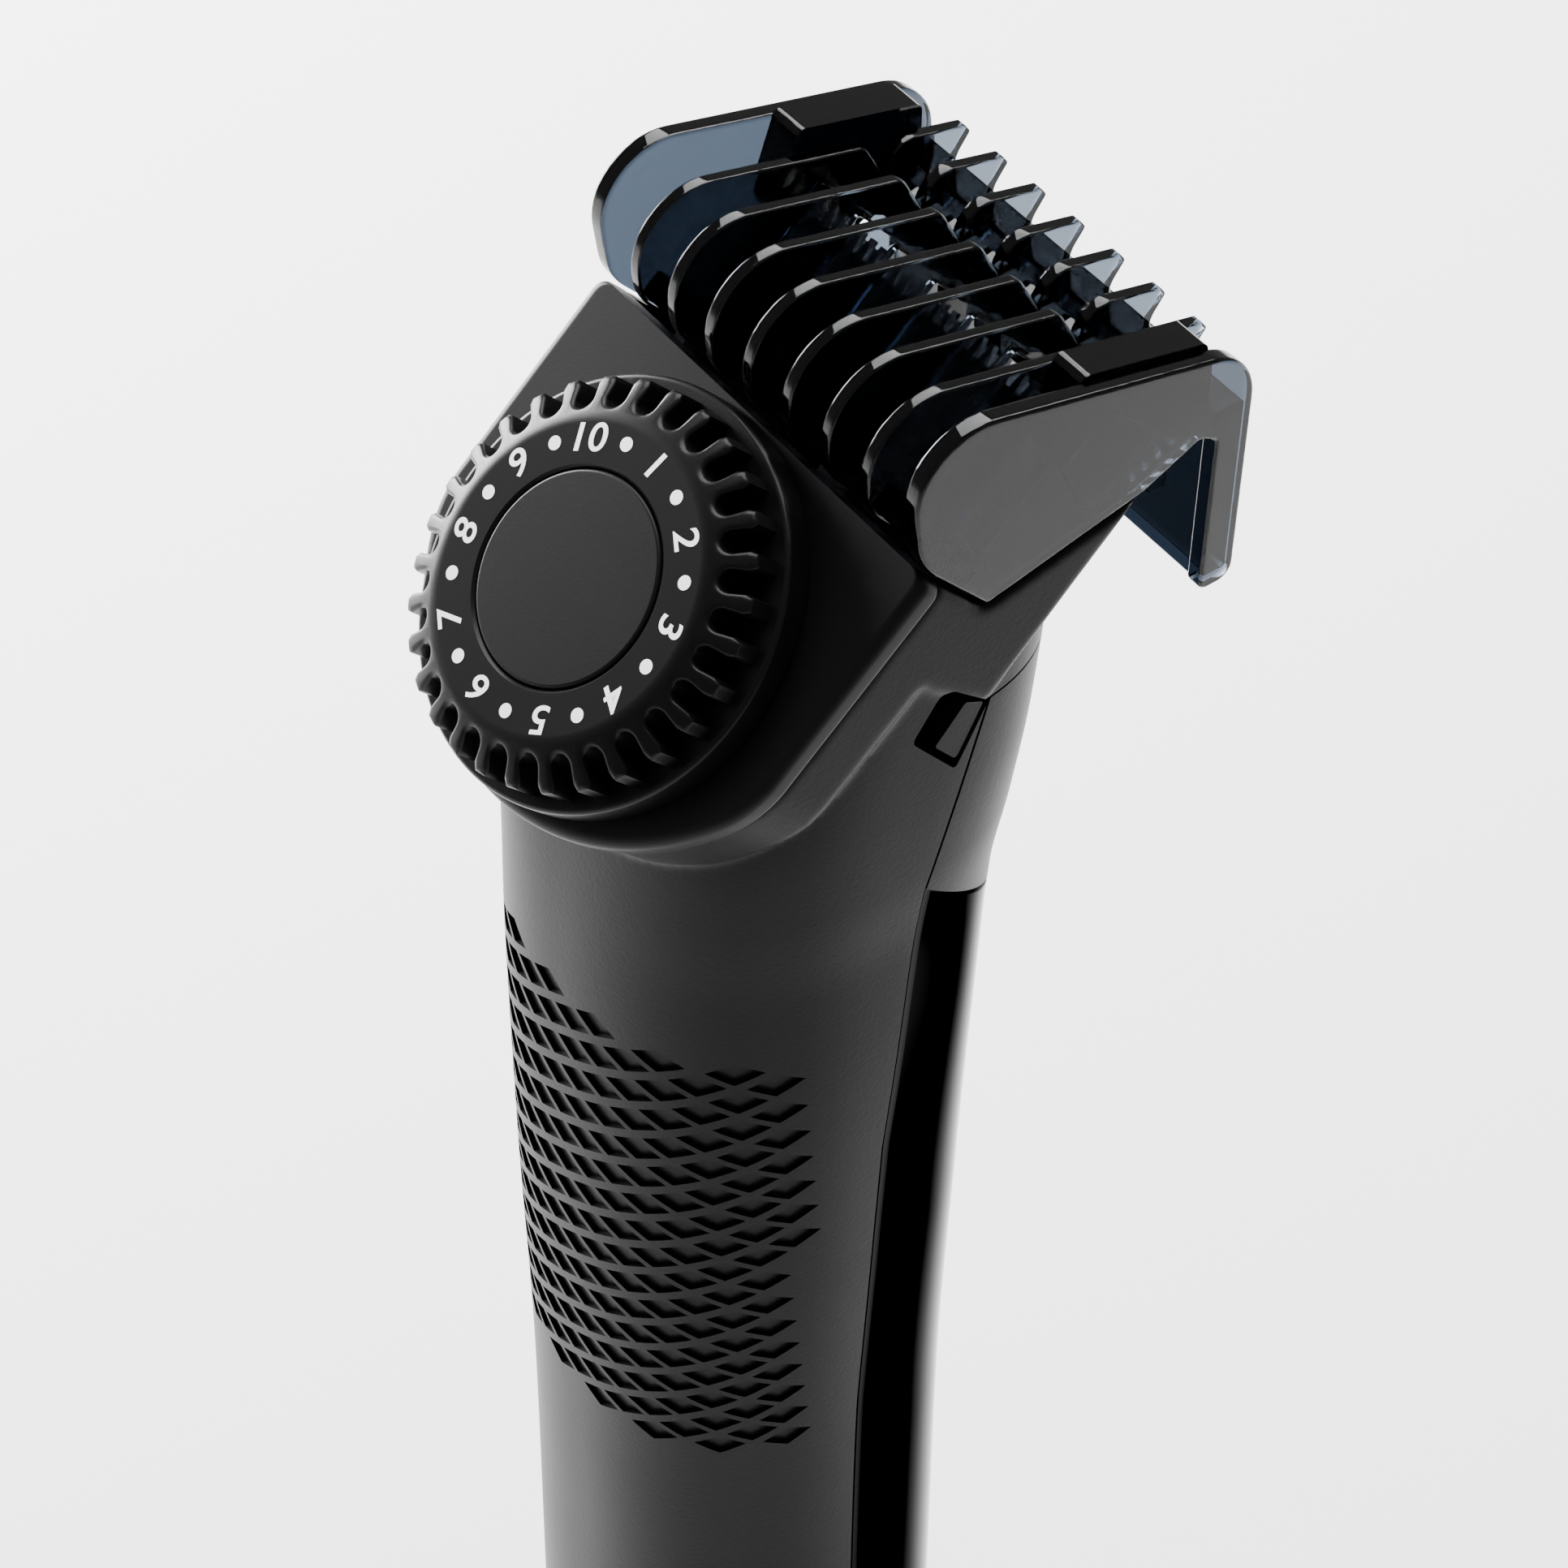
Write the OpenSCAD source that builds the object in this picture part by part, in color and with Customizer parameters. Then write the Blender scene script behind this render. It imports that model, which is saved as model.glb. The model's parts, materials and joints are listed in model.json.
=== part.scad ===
// Cordless hair clipper with a thumb wheel that slides its guide comb.
// It stands on its flat base at the origin: +Z runs up the handle and the dial faces -Y.

/* [Handle] */
// Height of the faceplate's centre above the base
head_z = 155; // [145:1:190]
// Half width of the handle at the grip
grip_r = 17.7; // [17.2:0.1:22]
// Wall of both housing shells
wall = 1.8; // [1.4:0.1:2.4]
// Thickness of the gloss panel let into the rear shell
panel_t = 1.1; // [0.8:0.1:1.2]
// Thickness of the base cap's plate
base_t = 3; // [2:0.5:5]

/* [Head] */
// Width across the head and the comb
head_w = 39.4; // [38.6:0.2:48]
// Angle that the head leans back from facing straight up
head_lean = 42.5; // [41:0.5:44]
// Distance of the faceplate's centre in front of the handle's axis
head_front = 10.3; // [9.5:0.1:11]
// Distance of the collar's round lower end below the wheel's axis
face_low = 16.8; // [16.6:0.1:18]
// Height of the faceplate's flat top above the wheel's axis
face_top = 16.5; // [16.2:0.1:18]
// Thickness of the faceplate
face_t = 2.4; // [2:0.1:3]
// Width by which the faceplate stands proud of the collar
face_lip = 0.5; // [0:0.1:1]
// Depth of the raised collar behind the faceplate
collar_h = 6.9; // [6.6:0.1:8]

/* [Zoom wheel] */
// Diameter over the wheel's grip lobes
wheel_d = 30.8; // [28:0.2:32]
// Height of the dial face above the faceplate
wheel_h = 6.8; // [6.4:0.1:8]
// Number of grip notches round the wheel
notch_n = 30; // [20:2:36]
// Depth of a grip notch
notch_depth = 2.6; // [1.5:0.1:2.8]
// Diameter of the push button in the dial
button_d = 16.2; // [14.6:0.1:17]
// Travel of the push button
button_stroke = 0.9; // [0.5:0.1:1]
// Number of click positions in a full turn
click_n = 20; // [10:2:30]
// Distance the comb moves over the wheel's full range
comb_travel = 10.64; // [8:0.01:10.7]
// Radius of the follower pin
pin_r = 0.75; // [0.6:0.05:0.8]

/* [Guide comb] */
// Spacing of the comb's ribs
rib_pitch = 4.62; // [3.9:0.01:4.7]
// Number of ribs between the side plates
rib_n = 7; // [5:2:7]
// Thickness of a rib
rib_t = 1.1; // [0.8:0.1:1.4]
// Thickness of a side plate
plate_t = 1.6; // [1.2:0.1:1.65]
// Slope of the comb's skin side below the level
skin_slope = 13.5; // [11:0.5:15]

/* [Cutter] */
// Width of the fixed blade
blade_w = 29.8; // [24:0.2:29.8]
// Spacing of the blade teeth
tooth_pitch = 1.2; // [1:0.05:2]
// Length of the blade teeth
tooth_len = 2.4; // [1.5:0.1:3]
// Stroke of the moving blade to each side
blade_stroke = 1.2; // [0.8:0.1:1.3]

/* [Drive and power] */
// Diameter of the motor
motor_d = 15.4; // [12:0.1:15.6]
// Length of the motor's can
motor_len = 16; // [14:0.5:16.5]
// Diameter of the rechargeable cell
cell_d = 14.2; // [10:0.1:14.4]
// Length of the rechargeable cell
cell_len = 49; // [40:1:50]
// Radius of the charging jack's bore
jack_r = 1.75; // [1:0.05:2.2]
// Depth of the charging jack's bore
jack_depth = 9; // [6:0.5:10]

/* [Fits] */
// Gap between parts that slide or stand next to each other
gap = 0.25; // [0.15:0.05:0.3]
// Radial clearance of a running fit
running = 0.05; // [0.02:0.01:0.08]

/* [Hidden] */
$fn = 48;

half_w = head_w / 2;
ring_n = 40;
cavity_x = half_w - wall + 0.1;

// Places in the head: v runs up the faceplate and n runs out of it.
function side(v, n) = [
    -head_front + v * cos(head_lean) - n * sin(head_lean),
    v * sin(head_lean) + n * cos(head_lean)
];
function unit(v) = v / norm(v);
function turn(a) = a > 180 ? a - 360 : a < -180 ? a + 360 : a;

// A corner at p, rounded by the radius in its third value.
function corner(before, p, after) =
    let (
        from = [before.x, before.y], at = [p.x, p.y], to = [after.x, after.y],
        r = len(p) > 2 ? p.z : 0,
        u = unit(from - at), w = unit(to - at),
        half = acos(max(-1, min(1, u * w))) / 2
    )
    r <= 0 ? [at] :
    let (
        c = at + unit(u + w) * r / sin(half),
        s = at + u * r / tan(half) - c,
        e = at + w * r / tan(half) - c,
        a0 = atan2(s.y, s.x),
        sweep = turn(atan2(e.y, e.x) - a0),
        steps = max(2, ceil(abs(sweep) / 12))
    )
    [for (i = [0:steps]) c + r * [cos(a0 + sweep * i / steps), sin(a0 + sweep * i / steps)]];
function rounded(q) =
    [for (i = [0:len(q) - 1]) each corner(q[(i + len(q) - 1) % len(q)], q[i], q[(i + 1) % len(q)])];
function ray(a) = [cos(a), sin(a)];
function arc(centre, r, a0, a1, steps) = [for (i = [0:steps]) centre + r * ray(a0 + (a1 - a0) * i / steps)];

module in_head() translate([0, -head_front, head_z]) rotate([head_lean, 0, 0]) children();
// An outline drawn as [y, height above the faceplate's centre], made w wide about x.
module across(w, x = 0) translate([x - w / 2, 0, head_z]) rotate([90, 0, 90]) linear_extrude(w) children();
module both_sides() {
    children();
    mirror([1, 0, 0]) children();
}
module tube(r_out, r_in, h) {
    difference() {
        cylinder(r = r_out, h = h);
        translate([0, 0, -1]) cylinder(r = r_in, h = h + 2);
    }
}

// The body's sections: height, half width, front, back, and how square the outline is.
base_r = grip_r + 0.4;
sections = [
    [0, base_r - 1.3, 1.3 - base_r, base_r - 1.3, 2.3],
    [0.5, base_r - 0.5, 0.5 - base_r, base_r - 0.5, 2.3],
    [1.6, base_r, -base_r, base_r, 2.3],
    [head_z * 0.36, grip_r, -grip_r, grip_r, 2.3],
    [head_z - 69, grip_r + 0.5, -grip_r - 0.3, grip_r + 0.5, 2.3],
    [head_z - 43, grip_r + 0.9, -grip_r + 0.1, grip_r + 0.9, 2.4],
    [head_z - 31, half_w - 1.2, -grip_r + 0.6, grip_r + 1.3, 2.5],
    [head_z - 22, half_w - 0.8, -grip_r + 1.2, grip_r + 2.2, 2.7],
    [head_z - 13, half_w - 0.6, -grip_r + 2.2, grip_r + 2.6, 3.0],
    [head_z - 1, half_w - 0.5, -grip_r + 5.0, grip_r + 2.8, 3.2],
    [head_z + 13, half_w - 0.5, -grip_r + 11.0, grip_r + 2.8, 3.4]
];
function ring(s, inset) = [
    for (i = [0:ring_n - 1])
        let (
            a = 360 * (i + 0.5) / ring_n,
            b = (s[3] - s[2]) / 2 - inset,
            cx = cos(a),
            cy = sin(a)
        )
        [
            (s[1] - inset) * sign(cx) * pow(abs(cx), 2 / s[4]),
            (s[3] + s[2]) / 2 + b * sign(cy) * pow(abs(cy), 2 / s[4]),
            s[0]
        ]
];
module body_form(inset = 0) {
    rings = [for (s = sections) ring(s, inset)];
    top = len(rings) - 1;
    polyhedron(
        points = [for (r = rings) each r],
        faces = concat(
            [[for (i = [0:ring_n - 1]) i]],
            [
                for (k = [0:top - 1], i = [0:ring_n - 1])
                    let (j = (i + 1) % ring_n, a = k * ring_n, b = a + ring_n)
                    each [[a + i, b + j, a + j], [a + i, b + i, b + j]]
            ],
            [[for (i = [ring_n - 1:-1:0]) top * ring_n + i]]
        )
    );
}

// The outline of collar and faceplate: straight sides, round corners and a wider round lower end.
sole_corner = 10;
sole_r = half_w + 1.7;
sole_v = sole_r - face_low;
module shield(inset, h, top = face_top) {
    corner_r = sole_corner - inset;
    drop = sqrt(pow(sole_r - sole_corner, 2) - pow(half_w - sole_corner, 2));
    to = [half_w - sole_corner, -drop];
    a = atan2(to.y, to.x);
    w = half_w - inset;
    linear_extrude(h) polygon(concat(
        [[-w, top], [w, top]],
        arc([to.x, sole_v + to.y], corner_r, 0, a, 4),
        arc([0, sole_v], sole_r - inset, a, -180 - a, 28),
        arc([-to.x, sole_v + to.y], corner_r, -180 - a, -180, 4)
    ));
}

// The crown behind the faceplate, with the notch that the comb rests in.
notch_low = [face_top, -8.6];
notch_tip = [face_top + 12.6, -15.8];
crown_low = 9.3;
module crown() {
    across(head_w) polygon([
        side(crown_low, 1), side(notch_tip.x + 4, 1), side(notch_tip.x + 4, notch_tip.y + 0.125),
        side(notch_tip.x - 8, notch_tip.y - 0.25), side(crown_low + 0.9, -16.6), side(crown_low, -9.6)
    ]);
}
module above_crown() {
    far = 80;
    drop = (notch_tip - notch_low) * 4;
    across(far) polygon([
        side(-far, -face_t), side(face_top, -face_t), side(notch_low.x, notch_low.y),
        side(notch_tip.x, notch_tip.y), side(notch_tip.x + drop.x, notch_tip.y + drop.y),
        [far, far], [-far, far]
    ]);
}
module collar(inset, low, top) in_head() translate([0, 0, low]) shield(inset, 1 - face_t - low, top);
module outer_form() {
    difference() {
        union() {
            body_form();
            crown();
            collar(0, -face_t - collar_h, face_top + 1);
        }
        above_crown();
    }
}
// The hollow of the handle and head, open at the crown for the cutter and the comb's arms.
mouth_floor = -14.2;
function roof(t) = unit([-notch_low.y + notch_tip.y, notch_low.x - notch_tip.x]) * t;
module under_roof() {
    far = 80;
    a = notch_low + roof(wall);
    b = notch_tip + (notch_tip - notch_low) * 4 + roof(wall);
    across(far) polygon([
        side(-far, 30), side(a.x, 30), side(a.x, a.y), side(b.x, b.y), [far, -far * 3], [-far, -far * 3]
    ]);
}
module hollow() {
    intersection() {
        body_form(wall);
        under_roof();
    }
    collar(wall, -face_t - collar_h + 1.2, face_top - wall);
    across(2 * cavity_x) polygon([
        side(5, -face_t - 1), side(12, -face_t - 1), side(12, 20), side(45, 20),
        side(45, mouth_floor), side(5, mouth_floor)
    ]);
}

// The seam between the shells, seen from the side, and the catch window beside its top.
seam_top = [9.2, -5.8];
window = [[4.8, -1.8, 0.8], [9.2, -5.8, 0], [6.2, -11.5, 0], [1.9, -6.1, 0.8]];
module behind_seam(shift = 0) {
    across(80) polygon([
        [0.4 + shift, -head_z - 5], [0.4 + shift, -90], [1.4 + shift, -54], [4.2 + shift, -24],
        seam_top + [shift, -shift], [60, seam_top.y - shift], [60, -head_z - 5]
    ]);
}
panel_top = -24;
module panel_zone(shift = 0) {
    intersection() {
        behind_seam(shift);
        across(80) polygon([
            [-5, base_t - head_z + shift], [-5, panel_top + 8 - shift], [4.2, panel_top - shift],
            [14, panel_top - 9 - shift], [40, panel_top - 24 - shift], [40, base_t - head_z + shift]
        ]);
    }
}
module above_base() translate([-50, -50, base_t + gap / 2]) cube([100, 100, 400]);

screw_x = 11.6;
screw_z = [34, head_z - 49];
boss_r = 2.4;
module at_screws() for (x = [-screw_x, screw_x], z = screw_z)
    translate([x, 0, z]) rotate([-90, 0, 0]) children();
window_depth = 4.5;
module catch_window() {
    both_sides() across(window_depth, half_w - window_depth / 2 + 1) polygon(rounded(window));
}

boss_back = -1.5;
module front_housing() {
    color("#1d1d1f") difference() {
        union() {
            difference() {
                outer_form();
                hollow();
                behind_seam(-gap / 2);
            }
            intersection() {
                at_screws() translate([0, 0, -20]) cylinder(r = boss_r, h = 20 + boss_back);
                body_form(wall / 2);
            }
        }
        at_screws() translate([0, 0, boss_back - 9]) cylinder(r = 0.9, h = 12);
        catch_window();
        translate([-50, -50, -1]) cube([100, 100, base_t + gap / 2 + 1]);
    }
}

// The rear shell carries two catches that snap into the side windows.
catch_w = 2;
module catches() {
    both_sides() {
        intersection() {
            across(catch_w, cavity_x - gap - catch_w / 2)
                polygon([[6.0, -9.6], [11.5, -3.4], [13.8, -7], [12.5, -15], [7.4, -13]]);
            body_form(wall + gap);
        }
        intersection() {
            across(catch_w + wall, cavity_x + wall - catch_w + 0.1)
                polygon([[6.9, -4.9], [8.7, -6.0], [6.3, -10.6], [4.2, -8.0]]);
            body_form(0.15);
        }
    }
}
rear_wall = wall + panel_t;
module rear_housing() {
    color("#202022") difference() {
        union() {
            difference() {
                intersection() {
                    body_form();
                    behind_seam(gap / 2);
                    above_base();
                }
                body_form(rear_wall);
            }
            intersection() {
                at_screws() translate([0, 0, boss_back + gap]) cylinder(r = boss_r, h = 20);
                body_form(wall);
            }
        }
        difference() {
            panel_zone(-gap / 2);
            body_form(panel_t + 0.05);
        }
        at_screws() {
            translate([0, 0, boss_back]) cylinder(r = 1.15, h = 30);
            translate([0, 0, 6]) cylinder(r = 2.0, h = 30);
        }
    }
    color("#202022") catches();
}
module rear_gloss_panel() {
    color("#0a0a0c") intersection() {
        difference() {
            body_form();
            body_form(panel_t);
        }
        panel_zone(gap / 2);
        above_base();
    }
}

// The faceplate, with a seat for the axle and the slot that the follower pin runs in.
axle_r = 1.9;
axle_flange = 3;
stem_r = 1.1;
groove_half = pin_r + 0.12;
full_turn = 324;
pin_v = axle_flange + gap + pin_r;
function spiral(turned) = pin_v + comb_travel * turned / full_turn;
slot_half = pin_r + 0.2;
module faceplate() {
    slot_end = spiral(full_turn);
    color("#1b1b1d") in_head() difference() {
        translate([0, 0, -face_t]) shield(-face_lip, face_t);
        translate([0, 0, -face_t - 1]) {
            cylinder(r = axle_r + running, h = face_t + 2);
            cylinder(r = axle_flange + running, h = 1.8 + running);
            translate([-slot_half, pin_v, 0]) cube([2 * slot_half, slot_end - pin_v, face_t + 2]);
            translate([0, pin_v, 0]) cylinder(r = slot_half, h = face_t + 2);
            translate([0, slot_end, 0]) cylinder(r = slot_half, h = face_t + 2);
            for (x = [-frame_boss.x, frame_boss.x])
                translate([x, frame_boss.y, 0]) cylinder(r = 0.7, h = 2.4);
        }
    }
    color("#1b1b1d") in_head() for (x = [-frame_boss.x, frame_boss.x])
        translate([x, frame_boss.y, frame_top]) tube(1.9, 0.7, -face_t - frame_top);
}

// The zoom wheel turns on a hollow axle and is held by a click spring pressed on the axle's end.
wheel_lift = 0.3;
flange_h = 2.6;
groove_depth = 1.9;
hub_top = 3.4;
click_h = 1.1;
click_r = 6.9;
spring_t = 0.6;
flange_r = max(wheel_d / 2 + 1, spiral(full_turn) + groove_half + 0.8);
module wheel_axle() {
    color("silver") in_head() difference() {
        union() {
            translate([0, 0, -face_t]) cylinder(r = axle_flange, h = 0.8);
            translate([0, 0, -face_t]) cylinder(r = axle_r, h = face_t + hub_top + gap + spring_t);
        }
        translate([0, 0, -face_t - 1]) cylinder(r = stem_r + running, h = 12);
    }
}
module detent_spring() {
    nose = 0.6;
    color("silver") in_head() translate([0, 0, hub_top + gap]) difference() {
        union() {
            cylinder(r = 3.6, h = spring_t);
            for (a = [0, 180]) rotate([0, 0, a]) {
                translate([0, -1, 0]) cube([click_r - 0.15 - nose, 2, spring_t]);
                translate([click_r - 0.15 - nose, 0, 0]) cylinder(r = nose, h = spring_t);
            }
        }
        translate([0, 0, -1]) cylinder(r = axle_r, h = 3);
    }
}
module spiral_groove(h) {
    step = 6;
    last = full_turn / step;
    turns = [for (i = [0:last]) i * step];
    back = [for (i = [last:-1:0]) turns[i]];
    linear_extrude(h) polygon(concat(
        [for (t = turns) (spiral(t) + groove_half) * ray(90 - t)],
        groove_end(full_turn, 0),
        [for (t = back) (spiral(t) - groove_half) * ray(90 - t)],
        groove_end(0, 180)
    ));
}
function groove_end(t, from) =
    [for (k = [1:5]) spiral(t) * ray(90 - t) + groove_half * ray(90 - t + from - 30 * k)];
module lobes(h) {
    pitch = 360 / notch_n;
    notch_half = wheel_d * PI / notch_n * 0.26;
    shoulder = wheel_d / 2 - 0.45;
    floor_r = wheel_d / 2 - notch_depth + notch_half;
    linear_extrude(h) polygon([
        for (i = [0:notch_n - 1])
            let (a = i * pitch, along = notch_half * ray(a + 90))
            each concat(
                [shoulder * ray(a) - along],
                arc(floor_r * ray(a), notch_half, a - 90, a - 270, 6),
                [shoulder * ray(a) + along],
                arc([0, 0], wheel_d / 2, a + pitch * 0.37, a + pitch * 0.63, 2)
            )
    ]);
}
module zoom_wheel() {
    bore_r = axle_r + running;
    dish_r = button_d / 2 + 0.12;
    color("#161618") in_head() difference() {
        union() {
            translate([0, 0, wheel_lift]) cylinder(r = flange_r, h = flange_h, $fn = 96);
            translate([0, 0, wheel_lift + 1]) lobes(wheel_h - wheel_lift - 1);
        }
        rotate_extrude($fn = 96) polygon([
            [0, -1], [bore_r, -1], [bore_r, hub_top], [click_r, hub_top], [click_r, hub_top + click_h],
            [dish_r, hub_top + click_h], [dish_r, wheel_h + 1], [0, wheel_h + 1]
        ]);
        translate([0, 0, -1]) spiral_groove(1 + wheel_lift + groove_depth);
        for (i = [0:click_n - 1]) rotate([0, 0, i * 360 / click_n])
            translate([click_r, 0, hub_top]) cylinder(r = 0.45, h = click_h + 0.3);
    }
}

// The push button fills the dial, and its stem reaches down through the axle to the switch.
cap_t = wheel_h - hub_top - click_h - button_stroke - 0.1;
cap_skin = 0.4;
coil_r = 2.5;
coil_wire = 0.35;
stem_low = -8.2;
module power_button() {
    color("#202022") in_head() {
        difference() {
            translate([0, 0, wheel_h - cap_t]) cylinder(r = button_d / 2, h = cap_t, $fn = 96);
            translate([0, 0, wheel_h - cap_t - 1])
                cylinder(r = coil_r + coil_wire + 0.3, h = 1 + cap_t - cap_skin);
        }
        translate([0, 0, stem_low]) cylinder(r = stem_r, h = wheel_h - cap_skin / 2 - stem_low);
    }
}
module button_clip() {
    color("silver") in_head() translate([0, 0, frame_low - 0.6]) tube(2.2, stem_r, 0.6 - running);
}
module button_spring() {
    low = hub_top + gap + spring_t + coil_wire;
    high = wheel_h - cap_skin - coil_wire;
    turns = 3;
    color("silver") in_head() for (i = [0:turns - 1])
        translate([0, 0, low + (high - low) * i / (turns - 1)])
            rotate_extrude($fn = 48) translate([coil_r, 0]) circle(r = coil_wire, $fn = 16);
}

// The carriage slides along v behind the faceplate and carries the comb on two arms.
plate_low = -4.4;
plate_high = -face_t - 0.25;
arm_out = half_w - wall - gap;
arm_in = arm_out - 1.2;
cheek_in = 15.1;
arm_v = [6, 33];
arm_n = [-13.6, -7.5];
frame_boss = [9, -6.2];
frame_top = -4.7;
frame_low = -6.2;
module carriage() {
    slot = 1.5;
    slot_low = -comb_travel - stem_r - gap;
    tail = slot_low - 1.5;
    color("#232326") in_head() {
        difference() {
            translate([0, 0, plate_low]) linear_extrude(plate_high - plate_low) polygon([
                [-4.5, tail], [4.5, tail], [6.5, tail + 3], [6.5, -2], [15.2, -0.5], [15.9, 6], [arm_in, 12],
                [-arm_in, 12], [-15.9, 6], [-15.2, -0.5], [-6.5, -2], [-6.5, tail + 3]
            ]);
            translate([-slot, slot_low, plate_low - 1]) cube([2 * slot, pin_v - pin_r - 0.6 - slot_low, 9]);
            translate([0, pin_v, plate_low - 1]) cylinder(r = pin_r, h = 9);
        }
        both_sides() {
            translate([cheek_in, arm_v.x, -10]) cube([1.1, 6, 10 + plate_high]);
            translate([cheek_in, arm_v.x, arm_n.x]) cube([arm_out - cheek_in, 6, -8.4 - arm_n.x]);
            translate([arm_in, arm_v.x, arm_n.x]) cube([arm_out - arm_in, arm_v.y - arm_v.x, -8.4 - arm_n.x]);
            translate([arm_in, 18, arm_n.x]) cube([arm_out - arm_in, arm_v.y - 18, arm_n.y - arm_n.x]);
        }
    }
}
module follower_pin() {
    color("silver") in_head() translate([0, pin_v, plate_low])
        cylinder(r = pin_r, h = wheel_lift + groove_depth - 0.3 - plate_low);
}

// The guide frame backs the carriage and holds the switch under the button's stem.
switch_top = -9.2;
switch_h = 1.8;
switch_w = 8.4;
module guide_frame() {
    leg = 1.2;
    color("#3a3a3e") in_head() {
        difference() {
            translate([-12, -9, frame_low]) cube([24, 14, frame_top - frame_low]);
            translate([0, 0, frame_low - 1]) cylinder(r = stem_r + 0.2, h = 4);
            for (x = [-frame_boss.x, frame_boss.x])
                translate([x, frame_boss.y, frame_low - 1]) cylinder(r = 0.9, h = 4);
        }
        both_sides() translate([switch_w / 2, -3, switch_top - switch_h])
            cube([leg, 6, frame_low - switch_top + switch_h]);
        translate([-switch_w / 2, -3, switch_top - switch_h - 0.8]) cube([switch_w, 6, 0.8]);
        both_sides() translate([switch_w / 2, -3, switch_top - switch_h - 0.8]) cube([leg, 6, 1]);
    }
}
module frame_screws() {
    color("silver") in_head() for (x = [-frame_boss.x, frame_boss.x])
        translate([x, frame_boss.y, frame_low]) {
            translate([0, 0, -0.9]) cylinder(r = 1.5, h = 0.9);
            translate([0, 0, -0.5]) cylinder(r = 0.7, h = 3.9);
        }
}
module power_switch() {
    color("#5b5b60") in_head() translate([-switch_w / 2, -3, switch_top - switch_h]) {
        cube([switch_w, 6, switch_h - 0.4]);
        translate([switch_w / 2, 3, 0]) cylinder(r = 1.6, h = switch_h - 0.05);
    }
}

// The guide comb. Its skin side slopes down towards the back.
function skin(y) = 18.5 - tan(skin_slope) * (y - 20.4);
plate_rise = 1.1;
function plate_top(y) = skin(y) + plate_rise;
comb_back = 31.6;
comb_low = -5.5;
block_rise = 0.5;
block_in = cheek_in;
rib_front = side(face_top + 0.7, -6.1);
rib_inner = side(31.7, -6.4);
rib_rear = side(31.7, -13);
module rib_outline() {
    polygon(rounded([
        rib_front, [1.0, 13.4, 5], [0.4, skin(0.4), 5.5], [21.4, skin(21.4), 1.2], [22.3, 16.6],
        [23.9, 13.2], [23.9, 10.9], rib_rear, rib_inner, side(face_top + 0.7, -6.4)
    ]));
}
module plate_outline() {
    polygon(rounded([
        [notch_low_yz.x + 0.1, notch_low_yz.y + 0.35, 0.4], [1.6, 12.0, 6], [-0.1, plate_top(-0.1), 5.5],
        [comb_back, plate_top(comb_back), 5.5], [comb_back, comb_low, 1.5], [28.4, comb_low, 0.8],
        [28.4, 9.8, 0.5], [26.8, 10.7, 0.8], notch_tip_yz + [0.1, 0.35]
    ]));
}
notch_low_yz = side(notch_low.x, notch_low.y);
notch_tip_yz = side(notch_tip.x, notch_tip.y);
module fin_outline() {
    polygon(rounded([
        [23.2, 15.0, 0.6], [24.6, skin(24.6), 2.2], [30.9, skin(30.9)], [31.4, 15.3, 0.3],
        [30.2, 13.6, 2.5], [29.8, 11.2], [29.8, 8.0], [24.8, 10.9], [23.2, 10.9]
    ]));
}
bar_y = [23.2, 24.8];
bar_z = [10.9, 14.6];
wall_y = [28.6, 31.5];
wall_top = 11.6;
module guide_comb() {
    inner = 2 * (half_w - plate_t) + 0.2;
    pocket = gap - 0.05;
    color([0.13, 0.17, 0.24, 0.75]) difference() {
        union() {
            both_sides() across(plate_t, half_w - plate_t / 2) plate_outline();
            for (i = [0:rib_n - 1]) {
                x = (i - (rib_n - 1) / 2) * rib_pitch;
                across(rib_t, x) rib_outline();
                across(rib_t, x) fin_outline();
            }
            across(inner) polygon([
                [bar_y[0], bar_z[0]], [bar_y[1], bar_z[0]], [bar_y[1], bar_z[1]], [bar_y[0], bar_z[1]]
            ]);
            across(inner) polygon(rounded([
                [wall_y[0], comb_low + 0.4, 0.5], [wall_y[1], comb_low + 0.4, 0.5],
                [wall_y[1], wall_top], [wall_y[0], wall_top]
            ]));
            across(inner) polygon([
                side(face_top + 0.7, -2.4), side(face_top + 2.8, -2.4),
                side(face_top + 2.8, -6.1), side(face_top + 0.7, -6.1)
            ]);
            both_sides() across(half_w - plate_t - block_in + 0.1, (half_w - plate_t + block_in) / 2)
                polygon(rounded([
                    [14.2, 14.6, 0.5], [16.4, plate_top(16.4) + block_rise, 0.8],
                    [28, plate_top(28) + block_rise, 0.8], [28, 12.4], [21.4, 8.9], [16.6, 8.9]
                ]));
        }
        for (i = [0:rib_n - 2]) {
            x = (i - (rib_n - 2) / 2) * rib_pitch;
            w = rib_pitch - 1.7;
            translate([x - w / 2, wall_y[0] - 1, head_z - 0.6]) cube([w, 4, wall_top - 2.2]);
        }
        in_head() both_sides()
            translate([arm_in - pocket, 0, arm_n.x - pocket])
                cube([arm_out - arm_in + 2 * pocket, arm_v.y + gap, arm_n.y - arm_n.x + 2 * pocket]);
    }
}

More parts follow.
